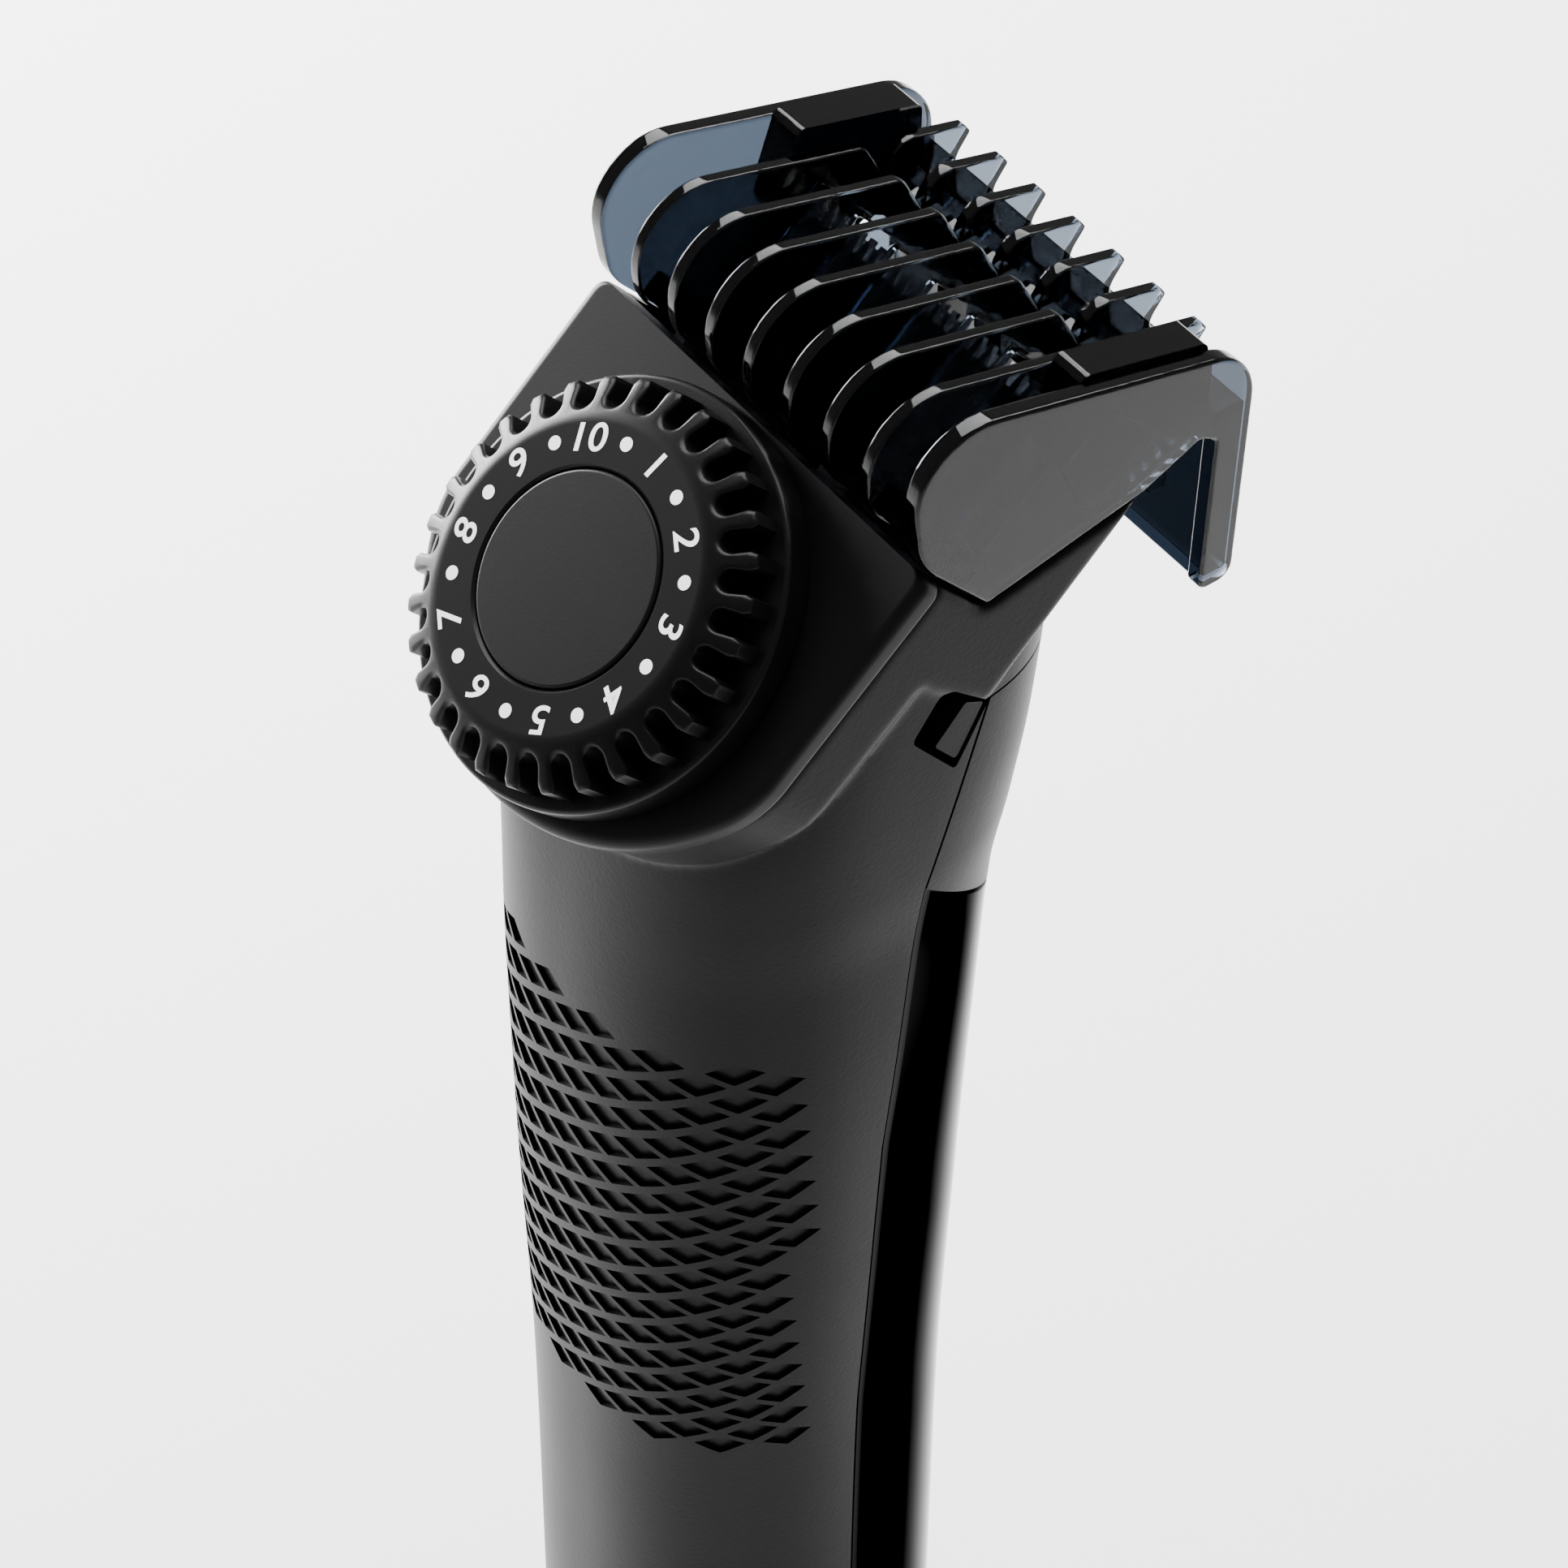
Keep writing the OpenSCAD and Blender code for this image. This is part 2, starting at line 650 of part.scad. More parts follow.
// The cutter: a housing plugged into the crown, a fixed blade and a moving blade behind it.
cut_w = 2 * cheek_in - 0.4;
land_n = -8.1;
back_n = -8.7;
blade_t = 0.6;
blade_v = [17.6, 31];
tip_gap = 0.5;
screw_v = 18.9;
screw_bx = 10;
window_w = 8.4;
peg_v = [21.6, 23.6];
spring_v = 26;
spring_r = 0.4;
module cutter_housing() {
    color("#19191b") in_head() difference() {
        union() {
            across_head(cut_w) polygon([
                [8, mouth_floor], [28.2, mouth_floor], [29.4, -11.5], [29.4, back_n], [8, back_n]
            ]);
            across_head(cut_w) polygon([[14, back_n - 1], [20.3, back_n - 1], [20.3, land_n], [14, land_n]]);
        }
        translate([-window_w / 2, 10, mouth_floor - 1]) cube([window_w, 15, 9]);
        translate([-12, spring_v - 0.8, back_n - 1.4]) cube([24, 1.6, 3]);
        for (x = [-screw_bx, screw_bx]) translate([x, screw_v, land_n - 4]) cylinder(r = 0.8, h = 9);
    }
}
// Outlines drawn as [v, n], made w wide about x, inside the head's own frame.
module across_head(w, x = 0) translate([x - w / 2, 0, 0]) rotate([90, 0, 90]) linear_extrude(w) children();

function teeth(w, v0, v1, pitch, len) =
    let (n = floor(w / pitch), left = -n * pitch / 2)
    concat(
        [[-w / 2, v0], [-w / 2, v1 - len]],
        [
            for (i = [0:n - 1]) let (x = left + i * pitch)
                each [
                    [x + pitch * 0.18, v1 - len], [x + pitch * 0.34, v1],
                    [x + pitch * 0.66, v1], [x + pitch * 0.82, v1 - len]
                ]
        ],
        [[w / 2, v1 - len], [w / 2, v0]]
    );
module fixed_blade() {
    color("silver") in_head() difference() {
        translate([0, 0, land_n]) linear_extrude(blade_t)
            polygon(teeth(blade_w, blade_v.x, blade_v.y, tooth_pitch, tooth_len));
        for (x = [-screw_bx, screw_bx]) translate([x, screw_v, land_n - 1]) cylinder(r = 1, h = 4);
    }
}
module moving_blade() {
    w = blade_w - 2 * blade_stroke - 2 * gap;
    color("gainsboro") in_head() translate([0, 0, back_n + running]) difference() {
        linear_extrude(land_n - back_n - 2 * running)
            polygon(teeth(w, 20.8, blade_v.y - tip_gap, tooth_pitch, tooth_len - 0.3));
        translate([-2, peg_v.x, -1]) cube([4, peg_v.y - peg_v.x, 3]);
    }
}
module blade_screws() {
    color("silver") in_head() for (x = [-screw_bx, screw_bx]) translate([x, screw_v, 0]) difference() {
        union() {
            translate([0, 0, land_n + blade_t]) cylinder(r = 1.9, h = 0.7);
            translate([0, 0, land_n - 3.5]) cylinder(r = 0.8, h = 4.2);
        }
        translate([-1.4, -0.25, land_n + blade_t + 0.35]) cube([2.8, 0.5, 2]);
    }
}
module blade_spring() {
    color("silver") in_head() translate([0, spring_v, back_n - spring_r]) {
        translate([-11, 0, 0]) rotate([0, 90, 0]) cylinder(r = spring_r, h = 22);
        for (x = [-11, 11]) translate([x, 0, 0]) sphere(r = spring_r);
    }
}

// The drive: the motor lies along v, and its eccentric pin works in the yoke's open fork.
motor_n = -19.7;
motor_v = [4 - motor_len, 4];
motor_wall = 0.8;
shaft_r = 1;
throw = blade_stroke;
drive_pin_r = 0.8;
disc_v = [6, 8.6];
fork_v = [9.2, 12.5];
fork_half = throw + blade_stroke + drive_pin_r + gap;
fork_wall = 1.6;
module on_motor(v) in_head() translate([0, v, motor_n]) rotate([-90, 0, 0]) children();
module motor_can() {
    color("silver") difference() {
        union() {
            on_motor(motor_v.x) cylinder(r = motor_d / 2, h = motor_len);
            on_motor(motor_v.y - 0.1) cylinder(r = 2.8, h = 1.1);
        }
        on_motor(motor_v.x + motor_wall)
            cylinder(r = motor_d / 2 - motor_wall, h = motor_len - 2 * motor_wall);
        on_motor(motor_v.x + motor_wall - 0.1) cylinder(r = shaft_r + running, h = motor_len + 4);
    }
}
module motor_shaft() {
    color("gray") {
        on_motor(motor_v.x + motor_wall + running)
            cylinder(r = shaft_r, h = disc_v.y - 0.6 - motor_v.x - motor_wall - running);
        on_motor(motor_v.x + 2.4) cylinder(r = motor_d / 2 - motor_wall - 0.8, h = motor_len - 5);
    }
}
module eccentric() {
    color("#c9b37a") {
        on_motor(disc_v.x) tube(3.4, shaft_r, disc_v.y - disc_v.x - 0.6);
        on_motor(disc_v.y - 0.6) cylinder(r = 3.4, h = 0.6);
        on_motor(disc_v.y - 0.1) translate([throw, 0, 0]) cylinder(r = drive_pin_r, h = fork_v.y - disc_v.y);
    }
}
module blade_yoke() {
    out = fork_half + fork_wall;
    low = motor_n - fork_half;
    high = motor_n + fork_half;
    arm = 5.2;
    color("#8a8c90") in_head() {
        both_sides() translate([fork_half, fork_v.x, low])
            cube([fork_wall, fork_v.y - fork_v.x + 1, high - low]);
        translate([-out, fork_v.y + 0.4, low]) cube([2 * out, 1.8, high - low]);
        across_head(arm) polygon([
            [fork_v.y + 1, high - 3], [fork_v.y + 2.2, high - 3], [24.6, -11], [24.6, back_n], [20.8, back_n],
            [20.8, -10.8], [fork_v.y + 0.6, high], [fork_v.y + 0.6, high - 3]
        ]);
        translate([-2 + running, peg_v.x + running, back_n - 0.1])
            cube([4 - 2 * running, peg_v.y - peg_v.x - 2 * running, 0.5]);
    }
}
bracket_v = [motor_v.x + 2, motor_v.x + 7];
foot_z = -34;
module motor_bracket() {
    color("#3a3a3e") difference() {
        union() {
            on_motor(bracket_v.x) cylinder(r = motor_d / 2 + 1.3, h = bracket_v.y - bracket_v.x);
            across(11) polygon([
                [chassis_y[1], foot_z - 10], [chassis_y[1] + 2, foot_z - 10], [chassis_y[1] + 2, foot_z],
                side(bracket_v.y, motor_n - motor_d / 2 + 1), side(bracket_v.x, motor_n - motor_d / 2 + 1),
                [chassis_y[1], foot_z]
            ]);
        }
        on_motor(bracket_v.x - 12) cylinder(r = motor_d / 2, h = 40);
    }
}

// Inside the handle: a chassis plate with the board in front and the cell behind.
chassis_w = 17;
chassis_y = [-3.4, -1.8];
chassis_z = [15, head_z - 38];
chassis_top = chassis_z[1];
cell_z = 24;
cell_y = chassis_y[1] + 0.6 + cell_d / 2;
board_y = -8.6;
board_t = 1.2;
board_z = [30, 112];
stand_z = [36, 106];
module chassis() {
    color("#3a3a3e") {
        difference() {
            translate([-chassis_w / 2, chassis_y[0], chassis_z[0]])
                cube([chassis_w, chassis_y[1] - chassis_y[0], chassis_z[1] - chassis_z[0]]);
            for (z = [44, 74]) translate([-4, -10, z]) cube([8, 20, 12]);
            for (z = stand_z) translate([0, 0, z]) rotate([90, 0, 0]) cylinder(r = 0.75, h = 20);
        }
        for (z = stand_z) translate([0, chassis_y[0], z]) rotate([90, 0, 0])
            tube(2, 0.75, chassis_y[0] - board_y - board_t);
        for (z = [cell_z - 3.2, cell_z + cell_len + 1.6]) translate([-5, chassis_y[1] - 0.2, z])
            cube([10, cell_d * 0.6, 1.6]);
    }
}
module circuit_board() {
    color("#1f5a3a") difference() {
        translate([-chassis_w / 2, board_y, board_z[0]]) cube([chassis_w, board_t, board_z[1] - board_z[0]]);
        for (z = stand_z) translate([0, 0, z]) rotate([90, 0, 0]) cylinder(r = 0.85, h = 20);
    }
    color("#202024") {
        translate([-4, board_y - 1.4, 60]) cube([8, 1.4, 8]);
        translate([-3, board_y - 2, 84]) cube([6, 2, 5]);
    }
}
module board_screws() {
    color("silver") for (z = stand_z) translate([0, board_y, z]) rotate([90, 0, 0]) {
        cylinder(r = 1.5, h = 0.9);
        translate([0, 0, -5]) cylinder(r = 0.75, h = 5.5);
    }
}
module rechargeable_cell() {
    color("#3d6a9c") translate([0, cell_y, cell_z]) {
        cylinder(r = cell_d / 2, h = cell_len - 1);
        cylinder(r = cell_d * 0.2, h = cell_len);
    }
}
module cell_contacts() {
    color("gold") {
        translate([-3.5, cell_y - 3.5, cell_z - 0.9]) cube([7, 7, 0.8]);
        translate([-3.5, cell_y - 3.5, cell_z + cell_len + 0.1]) cube([7, 7, 0.8]);
        translate([-1, chassis_y[1], cell_z - 1.5]) cube([2, cell_y - chassis_y[1], 0.8]);
        translate([-1, chassis_y[1], cell_z + cell_len + 0.7]) cube([2, cell_y - chassis_y[1], 0.8]);
    }
}
module housing_screws() {
    color("silver") at_screws() translate([0, 0, 6]) difference() {
        union() {
            cylinder(r = 1.8, h = 1.3);
            translate([0, 0, boss_back - 6 - 6.5]) cylinder(r = 0.9, h = 14);
        }
        translate([-0.3, -1.3, 0.6]) cube([0.6, 2.6, 2]);
    }
}

// The base cap plugs the handle and carries the charging jack.
spigot_h = 5;
jack_w = 8;
module base_cap() {
    color("#1d1d1f") difference() {
        union() {
            intersection() {
                body_form();
                translate([-50, -50, 0]) cube([100, 100, base_t]);
            }
            intersection() {
                body_form(rear_wall + gap);
                translate([-50, -50, base_t - 0.5]) cube([100, 100, spigot_h + 0.5]);
            }
        }
        translate([-jack_w / 2 - running, -jack_w / 2 - running, base_t])
            cube([jack_w + 2 * running, jack_w + 2 * running, 20]);
        translate([0, 0, -1]) cylinder(r = jack_r + 0.9, h = 20);
    }
}
module charging_jack() {
    color("#101012") translate([0, 0, base_t]) difference() {
        translate([-jack_w / 2, -jack_w / 2, 0]) cube([jack_w, jack_w, jack_depth + 1.5]);
        translate([0, 0, -1]) cylinder(r = jack_r, h = jack_depth + 1);
    }
}

front_housing();
rear_housing();
rear_gloss_panel();
faceplate();
base_cap();
charging_jack();
chassis();
rechargeable_cell();
cell_contacts();
circuit_board();
board_screws();
housing_screws();
power_switch();
guide_frame();
frame_screws();
motor_bracket();
motor_can();
motor_shaft();
eccentric();
cutter_housing();
fixed_blade();
blade_screws();
moving_blade();
blade_yoke();
blade_spring();
wheel_axle();
detent_spring();
zoom_wheel();
power_button();
button_clip();
button_spring();
carriage();
follower_pin();
guide_comb();
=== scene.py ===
"""Cordless hair clipper: the looks of the finished article, built round its CAD parts.

Every sub-assembly is a class that builds its own pieces and dresses them in a finish.
Lengths in this file are millimetres; meshes are scaled to metres when they are made.
"""

import json
import logging
import math
from dataclasses import dataclass, field
from enum import Enum
from typing import Callable, Iterable, Sequence

import bmesh
import bpy
import numpy as np
from mathutils import Matrix, Vector

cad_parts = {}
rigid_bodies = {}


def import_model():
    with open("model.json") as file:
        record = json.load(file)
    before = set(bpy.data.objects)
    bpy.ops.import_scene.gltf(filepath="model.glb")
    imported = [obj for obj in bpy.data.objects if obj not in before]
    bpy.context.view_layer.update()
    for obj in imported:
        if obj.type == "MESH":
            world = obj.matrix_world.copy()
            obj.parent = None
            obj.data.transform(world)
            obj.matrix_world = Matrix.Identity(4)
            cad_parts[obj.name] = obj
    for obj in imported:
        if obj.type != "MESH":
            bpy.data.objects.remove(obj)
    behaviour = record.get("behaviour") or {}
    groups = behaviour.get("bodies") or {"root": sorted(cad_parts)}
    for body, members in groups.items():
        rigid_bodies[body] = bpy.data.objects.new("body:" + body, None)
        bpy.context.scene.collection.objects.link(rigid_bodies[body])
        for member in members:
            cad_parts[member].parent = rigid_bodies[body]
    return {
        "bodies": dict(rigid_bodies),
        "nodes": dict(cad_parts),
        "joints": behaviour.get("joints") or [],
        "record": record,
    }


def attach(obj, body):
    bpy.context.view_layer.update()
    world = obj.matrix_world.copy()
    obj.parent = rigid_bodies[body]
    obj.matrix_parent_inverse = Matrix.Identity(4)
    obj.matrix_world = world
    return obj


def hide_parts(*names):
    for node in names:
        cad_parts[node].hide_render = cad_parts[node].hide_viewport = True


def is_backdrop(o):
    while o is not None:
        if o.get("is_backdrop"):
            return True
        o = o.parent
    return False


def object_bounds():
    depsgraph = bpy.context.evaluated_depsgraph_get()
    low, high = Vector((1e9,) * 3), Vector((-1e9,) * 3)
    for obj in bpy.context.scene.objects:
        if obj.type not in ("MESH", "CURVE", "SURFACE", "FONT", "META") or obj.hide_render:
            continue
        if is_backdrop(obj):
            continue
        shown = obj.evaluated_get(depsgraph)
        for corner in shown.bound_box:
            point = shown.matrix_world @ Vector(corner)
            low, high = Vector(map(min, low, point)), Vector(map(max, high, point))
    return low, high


LOG = logging.getLogger("clipper")
MM = 0.001
Point = tuple[float, float]
Loop = list[tuple[float, float, float]]


# ---------------------------------------------------------------- sizes


@dataclass(frozen=True)
class Sizes:
    """Sizes of the clipper that several pieces share, in millimetres."""

    wall: float = 1.8
    panel: float = 1.1
    base: float = 3.0
    gap: float = 0.25
    running: float = 0.05
    half_w: float = 19.7
    lean: float = 42.5
    front: float = 10.3
    head_z: float = 155.0
    face_t: float = 2.4
    face_top: float = 16.5
    face_low: float = 16.8
    collar: float = 6.9
    wheel_r: float = 15.4
    wheel_h: float = 6.8
    button_r: float = 8.1
    plate_t: float = 1.6
    rib_t: float = 1.1
    rib_pitch: float = 4.62
    rib_n: int = 7
    skin_slope: float = 13.5


S = Sizes()
CAVITY = S.half_w - S.wall + 0.1
BLOCK_IN = 15.1
COS, SIN = math.cos(math.radians(S.lean)), math.sin(math.radians(S.lean))


def side(v: float, n: float) -> Point:
    """Turns a place on the leaning head into a place in the clipper's side view.

    Args:
        v: Distance up the faceplate from the wheel's axis.
        n: Distance out of the faceplate.

    Returns:
        Depth along Y, and height above the faceplate's centre.
    """
    return (-S.front + v * COS - n * SIN, v * SIN + n * COS)


def head(x: float, v: float, n: float) -> tuple[float, float, float]:
    """Turns a place on the leaning head into a place in the row frame.

    Args:
        x: Distance to the right.
        v: Distance up the faceplate.
        n: Distance out of the faceplate.

    Returns:
        The point in millimetres.
    """
    y, z = side(v, n)
    return (x, y, z + S.head_z)


# ---------------------------------------------------------------- outlines


def arc(centre: Point, radius: float, start: float, end: float, steps: int) -> list[Point]:
    """Points along an arc.

    Args:
        centre: Middle of the circle.
        radius: Radius of the circle.
        start: First angle in degrees.
        end: Last angle in degrees.
        steps: Number of steps between the two.

    Returns:
        The points, both ends included.
    """
    angles = [math.radians(start + (end - start) * i / steps) for i in range(steps + 1)]
    return [(centre[0] + radius * math.cos(a), centre[1] + radius * math.sin(a)) for a in angles]


def rounded(corners: Sequence[Sequence[float]], step: float = 8.0) -> list[Point]:
    """Rounds the corners of an outline.

    Args:
        corners: Corners as (x, y) or (x, y, radius).
        step: Largest turn between two points on a corner, in degrees.

    Returns:
        The rounded outline.
    """
    out: list[Point] = []
    count = len(corners)
    for i, corner in enumerate(corners):
        at = np.array(corner[:2], float)
        radius = corner[2] if len(corner) > 2 else 0.0
        if radius <= 0:
            out.append((at[0], at[1]))
            continue
        u = np.array(corners[i - 1][:2], float) - at
        w = np.array(corners[(i + 1) % count][:2], float) - at
        u, w = u / np.linalg.norm(u), w / np.linalg.norm(w)
        half = math.acos(max(-1.0, min(1.0, float(u @ w)))) / 2
        bisector = (u + w) / np.linalg.norm(u + w)
        centre = at + bisector * radius / math.sin(half)
        first = at + u * radius / math.tan(half) - centre
        last = at + w * radius / math.tan(half) - centre
        start = math.degrees(math.atan2(first[1], first[0]))
        sweep = (math.degrees(math.atan2(last[1], last[0])) - start + 180) % 360 - 180
        out += arc((centre[0], centre[1]), radius, start, start + sweep, max(2, math.ceil(abs(sweep) / step)))
    return out


def inset(outline: Sequence[Point], depth: float) -> list[Point]:
    """Moves every side of an outline inwards.

    Args:
        outline: The closed outline.
        depth: Distance to move by; below zero moves outwards.

    Returns:
        The moved outline, with as many points.
    """
    pts = np.array(outline, float)
    area = float(np.sum(pts[:, 0] * np.roll(pts[:, 1], -1) - np.roll(pts[:, 0], -1) * pts[:, 1]))
    turn = 1.0 if area > 0 else -1.0
    before, after = pts - np.roll(pts, 1, 0), np.roll(pts, -1, 0) - pts
    before /= np.linalg.norm(before, axis=1, keepdims=True)
    after /= np.linalg.norm(after, axis=1, keepdims=True)
    normal_a = np.stack([-before[:, 1], before[:, 0]], 1) * turn
    normal_b = np.stack([-after[:, 1], after[:, 0]], 1) * turn
    share = 1 + np.sum(normal_a * normal_b, axis=1, keepdims=True)
    moved = pts + (normal_a + normal_b) / np.maximum(share, 0.35) * depth
    return [(float(a), float(b)) for a, b in moved]


def edge_profile(radius: float, steps: int = 4) -> list[tuple[float, float]]:
    """Depth and inset pairs of a rounded edge, from the face inwards.

    Args:
        radius: Radius of the edge.
        steps: Number of steps round it.

    Returns:
        Pairs of (depth below the face, inset of the outline).
    """
    turns = [math.pi / 2 * i / steps for i in range(steps + 1)]
    return [(radius * (1 - math.cos(t)), radius * (1 - math.sin(t))) for t in turns]


# ---------------------------------------------------------------- meshes


class Maker:
    """Makes meshes and works on them with solid operations."""

    @staticmethod
    def link(name: str, mesh: bpy.types.Mesh) -> bpy.types.Object:
        """Puts a mesh in the scene.

        Args:
            name: Name of the piece.
            mesh: Its mesh.

        Returns:
            The new object.
        """
        obj = bpy.data.objects.new(name, mesh)
        bpy.context.scene.collection.objects.link(obj)
        return obj

    @classmethod
    def raw(cls, name: str, points: Iterable[Sequence[float]], faces: Iterable[Sequence[int]]) -> bpy.types.Object:
        """Makes an object from points in millimetres and faces, and turns its faces outwards."""
        mesh = bpy.data.meshes.new(name)
        mesh.from_pydata([tuple(c * MM for c in p) for p in points], [], [tuple(f) for f in faces])
        work = bmesh.new()
        work.from_mesh(mesh)
        bmesh.ops.recalc_face_normals(work, faces=work.faces)
        work.to_mesh(mesh)
        work.free()
        return cls.link(name, mesh)

    @classmethod
    def loops(cls, name: str, rings: Sequence[Loop]) -> bpy.types.Object:
        """Skins a stack of rings into a solid.

        Args:
            name: Name of the piece.
            rings: Rings with as many points each, in order.

        Returns:
            The new object.
        """
        count, total = len(rings[0]), len(rings)
        faces: list[Sequence[int]] = []
        for k in range(total - 1):
            a, b = k * count, (k + 1) * count
            for i in range(count):
                j = (i + 1) % count
                faces.append((a + i, a + j, b + j, b + i))
        faces += [tuple(range(count)), tuple(range((total - 1) * count, total * count))]
        return cls.raw(name, [p for ring in rings for p in ring], faces)

    @classmethod
    def slab(cls, name: str, outline: Sequence[Point], x0: float, x1: float, edge: float = 0.0) -> bpy.types.Object:
        """A plate standing across X, with its outline drawn in the side view.

        Args:
            name: Name of the piece.
            outline: (depth, height above the faceplate's centre) corners.
            x0: Left face.
            x1: Right face.
            edge: Radius of its rounded edges.

        Returns:
            The new object.
        """
        stations = [(x0, 0.0), (x1, 0.0)]
        if edge:
            steps = edge_profile(edge)
            stations = [(x0 + d, i) for d, i in steps] + [(x1 - d, i) for d, i in reversed(steps)]
        return cls.loops(name, [[(x, y, z + S.head_z) for y, z in inset(outline, i)] for x, i in stations])

    @classmethod
    def on_face(cls, name: str, stack: Sequence[tuple[float, Sequence[Point]]]) -> bpy.types.Object:
        """A solid standing on the leaning head.

        Args:
            name: Name of the piece.
            stack: Pairs of (distance out of the faceplate, outline as (x, v)).

        Returns:
            The new object.
        """
        return cls.loops(name, [[head(x, v, n) for x, v in outline] for n, outline in stack])

    @classmethod
    def lathe(
        cls,
        name: str,
        profile: Sequence[Point],
        place: Callable[[float, float, float], Sequence[float]],
        steps: int = 128,
    ) -> bpy.types.Object:
        """Turns a closed profile of (radius, height) about an axis.

        Args:
            name: Name of the piece.
            profile: The profile; a point on the axis has radius zero.
            place: Turns (x, y, height) about the axis into a point.
            steps: Steps round the axis.

        Returns:
            The new object.
        """
        points: list[Sequence[float]] = []
        index: list[list[int]] = []
        for radius, height in profile:
            if radius <= 0:
                index.append([len(points)] * steps)
                points.append(place(0.0, 0.0, height))
                continue
            index.append(list(range(len(points), len(points) + steps)))
            points += [place(x, y, height) for x, y in arc((0, 0), radius, 0, 360 - 360 / steps, steps - 1)]
        faces = []
        for a, b in zip(index, index[1:] + index[:1]):
            for i in range(steps):
                j = (i + 1) % steps
                corner = list(dict.fromkeys([a[i], a[j], b[j], b[i]]))
                if len(corner) > 2:
                    faces.append(corner)
        return cls.raw(name, points, faces)

    @staticmethod
    def drop(*objects: bpy.types.Object) -> None:
        """Removes objects that were only tools."""
        for obj in objects:
            bpy.data.objects.remove(obj)

    @staticmethod
    def bake(obj: bpy.types.Object) -> bpy.types.Object:
        """Applies an object's modifiers to its mesh."""
        graph = bpy.context.evaluated_depsgraph_get()
        mesh = bpy.data.meshes.new_from_object(obj.evaluated_get(graph))
        obj.modifiers.clear()
        obj.data = mesh
        return obj

    @classmethod
    def solid(cls, obj: bpy.types.Object, kind: str, *tools: bpy.types.Object) -> bpy.types.Object:
        """Adds, cuts or keeps the overlap of an object with tools, which are used up.

        Args:
            obj: The object to work on.
            kind: UNION, DIFFERENCE or INTERSECT.
            *tools: The objects to work with.

        Returns:
            The worked object.
        """
        for tool in tools:
            step = obj.modifiers.new("solid", "BOOLEAN")
            step.operation, step.object, step.solver = kind, tool, "MANIFOLD"
            cls.bake(obj)
            cls.drop(tool)
        return obj

    @classmethod
    def soften(cls, obj: bpy.types.Object, voxel: float, rounds: int) -> bpy.types.Object:
        """Rounds every edge of a solid as a mould would, by re-skinning it finely and relaxing the skin."""
        skin = obj.modifiers.new("skin", "REMESH")
        skin.mode, skin.voxel_size, skin.use_smooth_shade = "VOXEL", voxel * MM, True
        relax = obj.modifiers.new("relax", "SMOOTH")
        relax.factor, relax.iterations = 0.5, rounds
        return cls.bake(obj)

    @classmethod
    def shade(cls, obj: bpy.types.Object, angle: float = 32.0) -> bpy.types.Object:
        """Shades a piece smooth, except over its real edges."""
        obj.data.polygons.foreach_set("use_smooth", [True] * len(obj.data.polygons))
        obj.data.set_sharp_from_angle(angle=math.radians(angle))
        weigh = obj.modifiers.new("weigh", "WEIGHTED_NORMAL")
        weigh.mode, weigh.weight, weigh.keep_sharp = "FACE_AREA", 100, True
        return cls.bake(obj)


# ---------------------------------------------------------------- finishes


class Grain(Enum):
    """Surface texture of a finish."""

    NONE = "none"
    LEATHER = "leather"
    SPARK = "spark"
    BRUSHED = "brushed"


